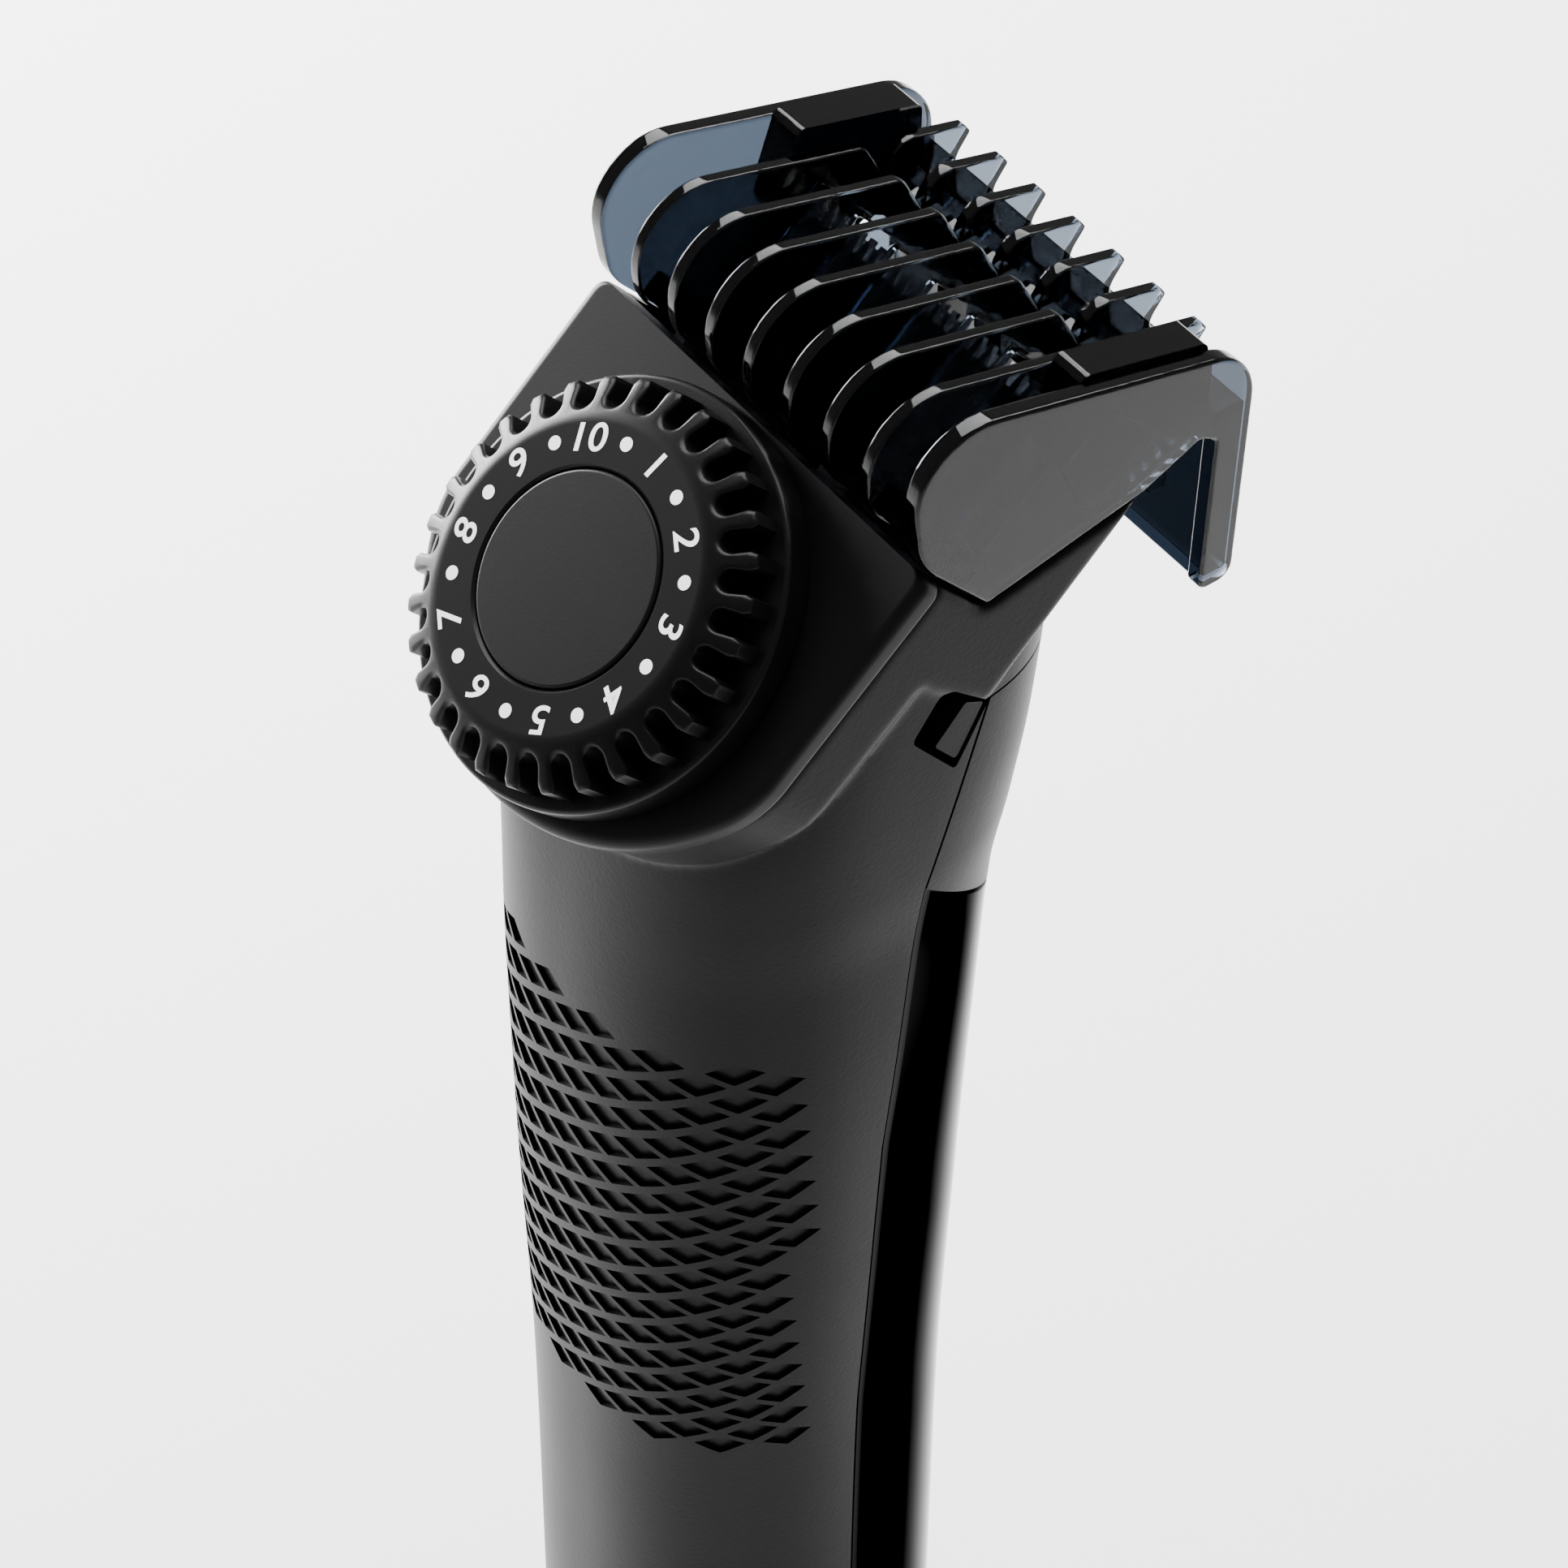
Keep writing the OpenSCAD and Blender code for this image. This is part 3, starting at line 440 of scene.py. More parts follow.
@dataclass(frozen=True)
class Finish:
    """A surface finish, made of procedural shading only."""

    name: str
    colour: tuple[float, float, float]
    roughness: float
    metallic: float = 0.0
    coat: float = 0.0
    specular: float = 0.5
    edge: tuple[float, float, float] = (1.0, 1.0, 1.0)
    grain: Grain = Grain.NONE
    grain_size: float = 0.5
    relief: float = 0.02
    mottle: float = 0.08

    def material(self) -> bpy.types.Material:
        """Makes the finish's material, or finds the one already made."""
        found = bpy.data.materials.get(self.name)
        if found:
            return found
        made = bpy.data.materials.new(self.name)
        made.use_nodes = True
        nodes, links = made.node_tree.nodes, made.node_tree.links
        shader = nodes["Principled BSDF"]
        shader.inputs["Base Color"].default_value = (*self.colour, 1.0)
        shader.inputs["Roughness"].default_value = self.roughness
        shader.inputs["Metallic"].default_value = self.metallic
        shader.inputs["Coat Weight"].default_value = self.coat
        shader.inputs["Coat Roughness"].default_value = 0.03
        shader.inputs["Specular IOR Level"].default_value = self.specular
        shader.inputs["Specular Tint"].default_value = (*self.edge, 1.0)
        made.diffuse_color = (*self.colour, 1.0)
        place = nodes.new("ShaderNodeTexCoord").outputs["Object"]
        self._mottle(nodes, links, shader, place)
        if self.grain is not Grain.NONE:
            self._relief(nodes, links, shader, place)
        self.extra(nodes, links, shader)
        return made

    def _mottle(self, nodes, links, shader, place) -> None:
        """Varies the roughness a little over the surface, as handling and moulding do."""
        noise = nodes.new("ShaderNodeTexNoise")
        noise.inputs["Scale"].default_value = 60.0
        noise.inputs["Detail"].default_value = 4.0
        spread = nodes.new("ShaderNodeMapRange")
        spread.inputs["To Min"].default_value = self.roughness * (1 - self.mottle)
        spread.inputs["To Max"].default_value = self.roughness * (1 + self.mottle)
        links.new(place, noise.inputs["Vector"])
        links.new(noise.outputs["Fac"], spread.inputs["Value"])
        links.new(spread.outputs["Result"], shader.inputs["Roughness"])

    def _relief(self, nodes, links, shader, place) -> None:
        """Raises the finish's fine grain."""
        source = place
        if self.grain is Grain.BRUSHED:
            stretch = nodes.new("ShaderNodeMapping")
            stretch.inputs["Scale"].default_value = (0.04, 1.0, 1.0)
            links.new(place, stretch.inputs["Vector"])
            source = stretch.outputs["Vector"]
        if self.grain is Grain.LEATHER:
            pattern = nodes.new("ShaderNodeTexVoronoi")
            pattern.feature = "SMOOTH_F1"
            height = pattern.outputs["Distance"]
        else:
            pattern = nodes.new("ShaderNodeTexNoise")
            pattern.inputs["Detail"].default_value = 2.0
            height = pattern.outputs["Fac"]
        pattern.inputs["Scale"].default_value = 1 / (self.grain_size * MM)
        bump = nodes.new("ShaderNodeBump")
        bump.inputs["Strength"].default_value = 1.0
        bump.inputs["Distance"].default_value = self.relief * MM
        links.new(source, pattern.inputs["Vector"])
        links.new(height, bump.inputs["Height"])
        links.new(bump.outputs["Normal"], shader.inputs["Normal"])

    def extra(self, nodes, links, shader) -> None:
        """Adds what a special finish needs; a plain one needs nothing."""


@dataclass(frozen=True)
class ClearFinish(Finish):
    """A clear plastic, tinted through its thickness."""

    tint: tuple[float, float, float] = (0.31, 0.36, 0.42)
    density: float = 2300.0
    index: float = 1.27

    def extra(self, nodes, links, shader) -> None:
        """Lets light through, and takes more of it the further it goes."""
        shader.inputs["Transmission Weight"].default_value = 1.0
        shader.inputs["IOR"].default_value = self.index
        fog = nodes.new("ShaderNodeVolumeAbsorption")
        fog.inputs["Color"].default_value = (*self.tint, 1.0)
        fog.inputs["Density"].default_value = self.density
        links.new(fog.outputs["Volume"], nodes["Material Output"].inputs["Volume"])


class Finishes:
    """The clipper's finishes."""

    HOUSING = Finish(
        "moulded_black", (0.0035, 0.0035, 0.0037), 0.36,
        specular=0.045, grain=Grain.LEATHER, grain_size=0.35, relief=0.01,
    )
    GLOSS = Finish("piano_gloss", (0.02, 0.02, 0.02), 0.05, metallic=1.0, edge=(0.36, 0.36, 0.36), mottle=0.02)
    PLATE = Finish(
        "satin_plate", (0.0035, 0.0035, 0.004), 0.4,
        specular=0.09, grain=Grain.SPARK, grain_size=0.16, relief=0.006,
    )
    WHEEL = Finish(
        "satin_wheel", (0.003, 0.003, 0.0033), 0.31,
        specular=0.1, grain=Grain.SPARK, grain_size=0.14, relief=0.004,
    )
    BUTTON = Finish(
        "satin_button", (0.004, 0.004, 0.0044), 0.38,
        specular=0.09, grain=Grain.SPARK, grain_size=0.16, relief=0.006,
    )
    INK = Finish("printed_white", (0.86, 0.86, 0.87), 0.5, mottle=0.03)
    COMB = ClearFinish("smoky_clear", (0.72, 0.76, 0.8), 0.03, specular=0.3, mottle=0.1)
    INNER = Finish("inner_plastic", (0.018, 0.018, 0.02), 0.5, specular=0.3, grain=Grain.SPARK, grain_size=0.25, relief=0.008)
    STEEL = Finish(
        "ground_steel", (0.62, 0.62, 0.64), 0.26, metallic=1.0, grain=Grain.BRUSHED, grain_size=0.12, relief=0.003
    )
    SPRING = Finish("drawn_steel", (0.5, 0.5, 0.52), 0.2, metallic=1.0)
    BRASS = Finish("turned_brass", (0.72, 0.55, 0.28), 0.25, metallic=1.0, mottle=0.2)
    BOARD = Finish("solder_mask", (0.02, 0.12, 0.05), 0.35, coat=0.3)
    WRAP = Finish("shrink_film", (0.03, 0.1, 0.3), 0.3, coat=0.4)
    FLOOR = Finish("pale_floor", (0.93, 0.93, 0.93), 0.75, specular=0.2, mottle=0.02)


def wear(obj: bpy.types.Object, finish: Finish) -> bpy.types.Object:
    """Puts a finish on an object, in place of what it had.

    Args:
        obj: The object.
        finish: Its new finish.

    Returns:
        The object.
    """
    obj.data.materials.clear()
    obj.data.materials.append(finish.material())
    return obj


def settle(
    obj: bpy.types.Object, finish: Finish, body: str, nodes: Sequence[str] = (), angle: float = 32.0
) -> bpy.types.Object:
    """Finishes a piece and hangs it on its body.

    Args:
        obj: The piece.
        finish: Its finish.
        body: Name of the moving body that carries it.
        nodes: CAD nodes that it stands for.
        angle: Edges sharper than this stay crisp, in degrees.

    Returns:
        The piece.
    """
    Maker.shade(obj, angle)
    wear(obj, finish)
    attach(obj, body)
    if nodes:
        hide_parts(*nodes)
    LOG.info("%s: %d faces on body %s", obj.name, len(obj.data.polygons), body)
    return obj


# ---------------------------------------------------------------- housing


class BodyForm:
    """The handle's outer form: a superellipse that changes over its height."""

    HEIGHTS = (0.0, 0.5, 1.6, 55.8, 86.0, 112.0, 124.0, 133.0, 142.0, 154.0, 168.0)
    HALVES = (16.8, 17.6, 18.1, 17.7, 18.2, 18.6, 18.5, 18.9, 19.1, 19.2, 19.2)
    FRONTS = (-16.8, -17.6, -18.1, -17.7, -18.0, -17.6, -17.1, -16.5, -15.5, -12.7, -6.7)
    BACKS = (16.8, 17.6, 18.1, 17.7, 18.2, 18.6, 19.0, 19.9, 20.3, 20.5, 20.5)
    POWERS = (2.3, 2.3, 2.3, 2.3, 2.3, 2.4, 2.5, 2.7, 3.0, 3.2, 3.4)

    @classmethod
    def _smooth(cls, values: Sequence[float], z: float) -> float:
        """Reads a curve through the values that never swings past them."""
        h, v = np.array(cls.HEIGHTS), np.array(values)
        steps = np.diff(h)
        rise = np.diff(v) / steps
        slope = np.zeros(len(h))
        for i in range(1, len(h) - 1):
            if rise[i - 1] * rise[i] > 0:
                w1, w2 = 2 * steps[i] + steps[i - 1], steps[i] + 2 * steps[i - 1]
                slope[i] = (w1 + w2) / (w1 / rise[i - 1] + w2 / rise[i])
        slope[-1] = rise[-1]
        k = int(np.clip(np.searchsorted(h, z) - 1, 0, len(h) - 2))
        t, d = (z - h[k]) / steps[k], steps[k]
        start, end = v[k], v[k + 1]
        return float(
            start * (1 + 2 * t) * (1 - t) ** 2
            + d * slope[k] * t * (1 - t) ** 2
            + end * t * t * (3 - 2 * t)
            + d * slope[k + 1] * t * t * (t - 1)
        )

    @classmethod
    def section(cls, z: float) -> tuple[float, float, float, float]:
        """Half width, half depth, centre and power of the section at a height."""
        half, front, back, power = (cls._smooth(c, z) for c in (cls.HALVES, cls.FRONTS, cls.BACKS, cls.POWERS))
        return half, (back - front) / 2, (back + front) / 2, power

    @classmethod
    def point(cls, turn: float, z: float, depth: float = 0.0) -> tuple[float, float, float]:
        """A point of the surface, or below it.

        Args:
            turn: Angle from the front towards the right, in degrees.
            z: Height.
            depth: Depth below the surface.

        Returns:
            The point in millimetres.
        """
        half, deep, centre, power = cls.section(z)
        a = math.radians(turn)
        s, c = math.sin(a), math.cos(a)
        reach = (abs(s / (half - depth)) ** power + abs(c / (deep - depth)) ** power) ** (-1 / power)
        return (reach * s, centre - reach * c, z)

    @classmethod
    def solid(cls, name: str, depth: float, low: float = 0.0, high: float = 168.0) -> bpy.types.Object:
        """The form as a solid between two heights, shrunk by a depth."""
        rows = [z for z in (0.0, 0.25, 0.5, 0.8, 1.2, 1.6) if low <= z <= high]
        rows += list(np.linspace(max(low, 2.4), high, max(3, int((high - max(low, 2.4)) / 1.6))))
        if low > 0 and rows[0] > low:
            rows.insert(0, low)
        return Maker.loops(
            name, [[cls.point(360 * i / 176, z, depth) for i in range(176)] for z in sorted(set(rows))]
        )


def shield(depth: float, top: float = S.face_top) -> list[Point]:
    """Outline of the faceplate and the collar behind it, as (x, v).

    Args:
        depth: How far the outline is set in.
        top: Height of its straight top.

    Returns:
        The outline.
    """
    corner, bottom = 10.0, S.half_w + 1.7
    middle = bottom - S.face_low
    drop = math.sqrt((bottom - corner) ** 2 - (S.half_w - corner) ** 2)
    across = S.half_w - corner
    a = math.degrees(math.atan2(-drop, across))
    w = S.half_w - depth
    right = arc((across, middle - drop), corner - depth, 0, a, 10)
    low = arc((0, middle), bottom - depth, a, -180 - a, 48)
    left = arc((-across, middle - drop), corner - depth, -180 - a, -180, 10)
    rim = min(1.2, corner - depth)
    upper = arc((-w + rim, top - rim), rim, 180, 90, 5) + arc((w - rim, top - rim), rim, 90, 0, 5)
    return upper + right[1:] + low[1:] + left[1:-1]


@dataclass
class Housing:
    """Both shells, the gloss panel and the base cap."""

    notch_low: Point = (16.5, -8.6)
    notch_tip: Point = (29.1, -15.8)
    mouth_floor: float = -14.2
    seam: tuple[Point, ...] = ((0.4, -160.0), (0.4, -90.0), (1.4, -54.0), (4.2, -24.0), (9.2, -5.8))
    window: tuple[tuple[float, float, float], ...] = (
        (4.8, -1.8, 0.8), (9.2, -5.8, 0.2), (6.2, -11.5, 0.3), (1.9, -6.1, 0.8),
    )
    tab: tuple[Point, ...] = ((6.9, -4.9), (8.7, -6.0), (6.3, -10.6), (4.2, -8.0))
    screw_x: float = 11.6
    screw_z: tuple[float, float] = (34.0, 106.0)
    pieces: list[bpy.types.Object] = field(default_factory=list)

    def build(self) -> None:
        """Builds the outer form once and parts the shells from it."""
        form = self._form()
        front = form.copy()
        front.data = form.data.copy()
        front.name = "front_shell"
        bpy.context.scene.collection.objects.link(front)
        self._front(front)
        form.name = "rear_shell"
        self._rear(form)
        self._panel()
        self._base()

    def _crown(self) -> bpy.types.Object:
        """The block behind the faceplate that carries the comb's notch."""
        tip = self.notch_tip
        corners = [
            side(9.3, 1), side(tip[0] + 4, 1), side(tip[0] + 4, tip[1] + 0.125), side(tip[0] - 8, tip[1] - 0.25),
            side(10.2, -16.6), side(9.3, -9.6),
        ]
        return Maker.slab("crown", corners, -S.half_w, S.half_w)

    def _above(self) -> bpy.types.Object:
        """Everything above the crown's top line."""
        far = 80.0
        low, tip = self.notch_low, self.notch_tip
        end = (tip[0] + (tip[0] - low[0]) * 4, tip[1] + (tip[1] - low[1]) * 4)
        corners = [
            side(-far, -S.face_t), side(S.face_top, -S.face_t), side(*low), side(*tip), side(*end),
            (far, far), (-far, far),
        ]
        return Maker.slab("above", corners, -40, 40)

    def _form(self) -> bpy.types.Object:
        """The whole outer form, with moulded edges."""
        form = BodyForm.solid("form", 0.0)
        collar = Maker.on_face(
            "collar",
            [
                (-S.face_t - S.collar, shield(0.9, S.face_top + 1)),
                (-S.face_t - S.collar + 0.9, shield(0, S.face_top + 1)),
                (1, shield(0, S.face_top + 1)),
            ],
        )
        Maker.solid(form, "UNION", self._crown(), collar)
        Maker.solid(form, "DIFFERENCE", self._above())
        return Maker.soften(form, 0.34, 9)

    def _behind(self, shift: float) -> bpy.types.Object:
        """Everything behind the seam between the shells."""
        top = self.seam[-1]
        corners = [(y + shift, z) for y, z in self.seam[:-1]]
        corners += [(top[0] + shift, top[1] - shift), (60, top[1] - shift), (60, -160)]
        return Maker.slab("behind", corners, -40, 40)

    def _hollow(self) -> list[bpy.types.Object]:
        """The room inside the shells and behind the faceplate."""
        low, tip = self.notch_low, self.notch_tip
        normal = np.array([-low[1] + tip[1], low[0] - tip[0]])
        drop = normal / np.linalg.norm(normal) * S.wall
        a = (low[0] + drop[0], low[1] + drop[1])
        b = (tip[0] + (tip[0] - low[0]) * 4 + drop[0], tip[1] + (tip[1] - low[1]) * 4 + drop[1])
        roof = Maker.slab("roof", [side(-80, 30), side(a[0], 30), side(*a), side(*b), (80, -240), (-80, -240)], -40, 40)
        room = Maker.solid(BodyForm.solid("room", S.wall), "INTERSECT", roof)
        behind = shield(S.wall, S.face_top - S.wall)
        collar = Maker.on_face("collar_room", [(-S.face_t - S.collar + 1.2, behind), (1, behind)])
        floor = self.mouth_floor
        mouth = Maker.slab(
            "mouth",
            [
                side(5, -S.face_t - 1), side(12, -S.face_t - 1), side(12, 20),
                side(45, 20), side(45, floor), side(5, floor),
            ],
            -CAVITY, CAVITY,
        )
        return [room, collar, mouth]

    def _windows(self) -> list[bpy.types.Object]:
        """The openings beside the catches."""
        outline = rounded(self.window)
        return [Maker.slab("window", outline, *sorted((s * 16.2, s * 20.7))) for s in (-1, 1)]

    def _grip(self) -> list[bpy.types.Object]:
        """The recessed cells of the grip, between two crossing sets of slanting ribs."""
        cells: list[bpy.types.Object] = []
        rise, fall = 0.2, -0.174
        row_pitch, row_open, row_top = 3.68, 2.65, 110.92
        cell_pitch, cell_open, cell_left = 3.28, 2.62, 107.9
        points: list[Sequence[float]] = []
        faces: list[Sequence[int]] = []
        nu, nv = 4, 3
        for row in range(-8, 22):
            for cell in range(-30, 24):
                high, left = row_top - row * row_pitch, cell_left + cell * cell_pitch
                grid = {}
                for i in range(nu + 1):
                    for j in range(nv + 1):
                        a = high - row_open * j / nv
                        b = left + cell_open * i / nu
                        turn = (b - a) / (rise - fall)
                        grid[i, j] = (turn, a + rise * turn)
                turns, tall = [g[0] for g in grid.values()], [g[1] for g in grid.values()]
                if max(map(abs, turns)) > 76 or max(tall) > 118.4 or min(tall) < 62.5:
                    continue
                base = len(points)
                index = {}
                for layer, depth in enumerate((0.42, -1.2)):
                    for key, (turn, z) in grid.items():
                        index[key, layer] = base + len(index)
                        points.append(BodyForm.point(turn, z, depth))
                for layer in (0, 1):
                    for i in range(nu):
                        for j in range(nv):
                            faces.append([index[k, layer] for k in ((i, j), (i + 1, j), (i + 1, j + 1), (i, j + 1))])
                rim = [(i, 0) for i in range(nu)] + [(nu, j) for j in range(nv)]
                rim += [(i, nv) for i in range(nu, 0, -1)] + [(0, j) for j in range(nv, 0, -1)]
                for here, there in zip(rim, rim[1:] + rim[:1]):
                    faces.append([index[here, 0], index[there, 0], index[there, 1], index[here, 1]])
        cells.append(Maker.raw("grip_cells", points, faces))
        return cells

    def _post(self, radius: float, start: float, end: float, x: float, z: float) -> bpy.types.Object:
        """A round post or hole along Y."""
        return Maker.lathe(
            "post", [(0, start), (radius, start), (radius, end), (0, end)], lambda a, b, h: (x + a, h, z + b), 32
        )

    def _posts(self, radius: float, start: float, end: float) -> list[bpy.types.Object]:
        """One post or hole at every housing screw."""
        return [self._post(radius, start, end, x, z) for x in (-self.screw_x, self.screw_x) for z in self.screw_z]

    def _below(self, level: float) -> bpy.types.Object:
        """Everything below a level."""
        return Maker.slab(
            "below",
            [(-60, -S.head_z - 5), (60, -S.head_z - 5), (60, level - S.head_z), (-60, level - S.head_z)],
            -60, 60,
        )

    def _front(self, shell: bpy.types.Object) -> None:
        """Parts the front shell, with its screw posts, windows and grip."""
        Maker.solid(shell, "DIFFERENCE", *self._hollow(), self._behind(-S.gap / 2), *self._windows())
        for post in self._posts(2.4, -20, -1.5):
            Maker.solid(post, "INTERSECT", BodyForm.solid("core", S.wall / 2, 20, 130))
            Maker.solid(shell, "UNION", post)
        Maker.solid(
            shell, "DIFFERENCE", *self._posts(0.9, -10.5, 1.5), *self._grip(), self._below(S.base + S.gap / 2)
        )
        self.pieces.append(settle(shell, Finishes.HOUSING, "body", ["front_housing"], 38))

    def _rear(self, shell: bpy.types.Object) -> None:
        """Parts the rear shell, with its catches and the seat of the gloss panel."""
        Maker.solid(shell, "INTERSECT", self._behind(S.gap / 2))
        Maker.solid(shell, "DIFFERENCE", BodyForm.solid("room", S.wall + S.panel))
        zone = Maker.solid(
            self._behind(-S.gap / 2), "INTERSECT",
            Maker.slab("zone", [(-5, -160), (-5, -15.9), (4.2, -23.9), (14, -32.9), (40, -47.9), (40, -160)], -40, 40),
        )
        Maker.solid(zone, "DIFFERENCE", BodyForm.solid("seat", S.panel + 0.05))
        Maker.solid(shell, "DIFFERENCE", zone, self._below(S.base + S.gap / 2))
        for post in self._posts(2.4, -1.25, 18.4):
            Maker.solid(post, "INTERSECT", BodyForm.solid("core", S.wall, 20, 130))
            Maker.solid(shell, "UNION", post)
        Maker.solid(shell, "DIFFERENCE", *self._posts(1.15, -1.5, 8), *self._posts(2.0, 6, 30))
        arm = [(6.0, -9.6), (11.5, -3.4), (13.8, -7), (12.5, -15), (7.4, -13)]
        for s in (-1, 1):
            hook = Maker.slab("hook", arm, *sorted((s * 15.75, s * 17.75)))
            Maker.solid(hook, "INTERSECT", BodyForm.solid("core", S.wall + S.gap, 100))
            tab = Maker.slab("tab", rounded([(*p, 0.3) for p in self.tab]), *sorted((s * 16.4, s * 19.9)))
            Maker.solid(tab, "INTERSECT", BodyForm.solid("core", 0.15, 100))
            Maker.solid(shell, "UNION", hook, tab)
        self.pieces.append(settle(shell, Finishes.HOUSING, "body", ["rear_housing"], 38))

    def _panel(self) -> None:
        """The gloss panel: a skin with rolled edges that follows the back of the handle."""
        low, gap, roll = S.base + S.gap / 2, S.gap / 2, 0.55
        seam_z = [z + S.head_z for _, z in self.seam]
        seam_y = [y for y, _ in self.seam]

        def seam_turn(z: float) -> float:
            y = float(np.interp(z, seam_z, seam_y)) + gap
            half, deep, centre, power = BodyForm.section(z)
            x = half * (1 - abs((y - centre) / deep) ** power) ** (1 / power)
            return math.degrees(math.atan2(x, centre - y))

        def top(turn: float) -> float:
            y = BodyForm.point(turn, 122.0)[1]
            return float(np.interp(y, [-5, 4.2, 14, 40], [139, 131, 122, 107])) - gap

        near = [0.0, 0.06, 0.16, 0.3, 0.44, roll]
        span = [0.0] + near[1:] + list(np.linspace(2.5, 54.5, 44)) + [57 - d for d in reversed(near)]
        layers: list[list[list[tuple[float, float, float]]]] = []
        rows = near + list(np.linspace(2, 117, 70)) + [119 - d for d in reversed(near)]
        for back in (False, True):
            sheet = []
            for v in rows:
                line = []
                for u in span:
                    z, turn = low + v, 180.0
                    for _ in range(4):
                        edge = seam_turn(min(z, 131.0))
                        turn = edge + u / 57 * (360 - 2 * edge)
                        ceiling = top(turn)
                        z = low + v / 119 * (ceiling - low)
                    rim = min(u, 57 - u, v, 119 - v)
                    dip = 0.0 if rim >= roll else roll - math.sqrt(max(0.0, roll**2 - (roll - rim) ** 2))
                    line.append(BodyForm.point(turn, z, S.panel if back else dip * 0.8))
                sheet.append(line)
            layers.append(sheet)
        height, width = len(rows), len(span)
        points = [p for sheet in layers for line in sheet for p in line]
        at = lambda layer, i, j: layer * height * width + i * width + j
        faces = []
        for layer in (0, 1):
            for i in range(height - 1):
                for j in range(width - 1):
                    faces.append([at(layer, i, j), at(layer, i, j + 1), at(layer, i + 1, j + 1), at(layer, i + 1, j)])
        rim = [(0, j) for j in range(width - 1)] + [(i, width - 1) for i in range(height - 1)]
        rim += [(height - 1, j) for j in range(width - 1, 0, -1)] + [(i, 0) for i in range(height - 1, 0, -1)]
        for a, b in zip(rim, rim[1:] + rim[:1]):
            faces.append([at(0, *a), at(0, *b), at(1, *b), at(1, *a)])
        panel = Maker.raw("gloss_panel", points, faces)
        self.pieces.append(settle(panel, Finishes.GLOSS, "body", ["rear_gloss_panel"], 40))

    def _base(self) -> None:
        """The cap that closes the handle's end, with the opening for the charging plug."""
        cap = BodyForm.solid("base_plate", 0.0, 0.0, S.base)
        Maker.solid(cap, "UNION", BodyForm.solid("spigot", S.wall + S.panel + S.gap, S.base - 0.5, S.base + 5))
        upright = lambda x, y, h: (x, y, h)
        hole = [(0, -1), (3.0, -1), (3.0, 0), (2.65, 0.35), (2.65, 20), (0, 20)]
        seat = Maker.slab(
            "seat",
            [
                (-4.05, S.base - S.head_z), (4.05, S.base - S.head_z),
                (4.05, 30 - S.head_z), (-4.05, 30 - S.head_z),
            ],
            -4.05, 4.05,
        )
        Maker.solid(cap, "DIFFERENCE", Maker.lathe("hole", hole, upright, 64), seat)
        self.pieces.append(settle(cap, Finishes.HOUSING, "body", ["base_cap"], 38))


# ---------------------------------------------------------------- dial


@dataclass
class Faceplate:
    """The round-ended plate under the wheel."""

    lip: float = 0.5
    pin_v: float = 4.0
    travel: float = 10.64
    slot_half: float = 0.95

    def build(self) -> None:
        """Builds the plate with its rolled rim, the axle's seat and the pin's slot."""
        low = -S.face_t
        stack = [(low + d, shield(i - self.lip)) for d, i in edge_profile(0.55)]
        stack += [(-d, shield(i - self.lip)) for d, i in reversed(edge_profile(0.95, 6))]
        plate = Maker.on_face("faceplate_shell", stack)
        bore = [(0, low - 1), (3.05, low - 1), (3.05, low + 0.85), (1.95, low + 0.85), (1.95, 1), (0, 1)]
        end = self.pin_v + self.travel
        slot = arc((0, end), self.slot_half, 0, 180, 16) + arc((0, self.pin_v), self.slot_half, 180, 360, 16)
        Maker.solid(
            plate, "DIFFERENCE",
            Maker.lathe("bore", bore, head, 48), Maker.on_face("slot", [(low - 1, slot), (1, slot)]),
        )
        for x in (-9, 9):
            post = [(0.7, -4.7), (1.9, -4.7), (1.9, low + 0.1), (0.7, low + 0.1)]
            place = lambda a, b, n, x=x: head(a + x, b - 6.2, n)
            Maker.solid(plate, "UNION", Maker.lathe("post", post, place, 32))
        settle(plate, Finishes.PLATE, "body", ["faceplate"])


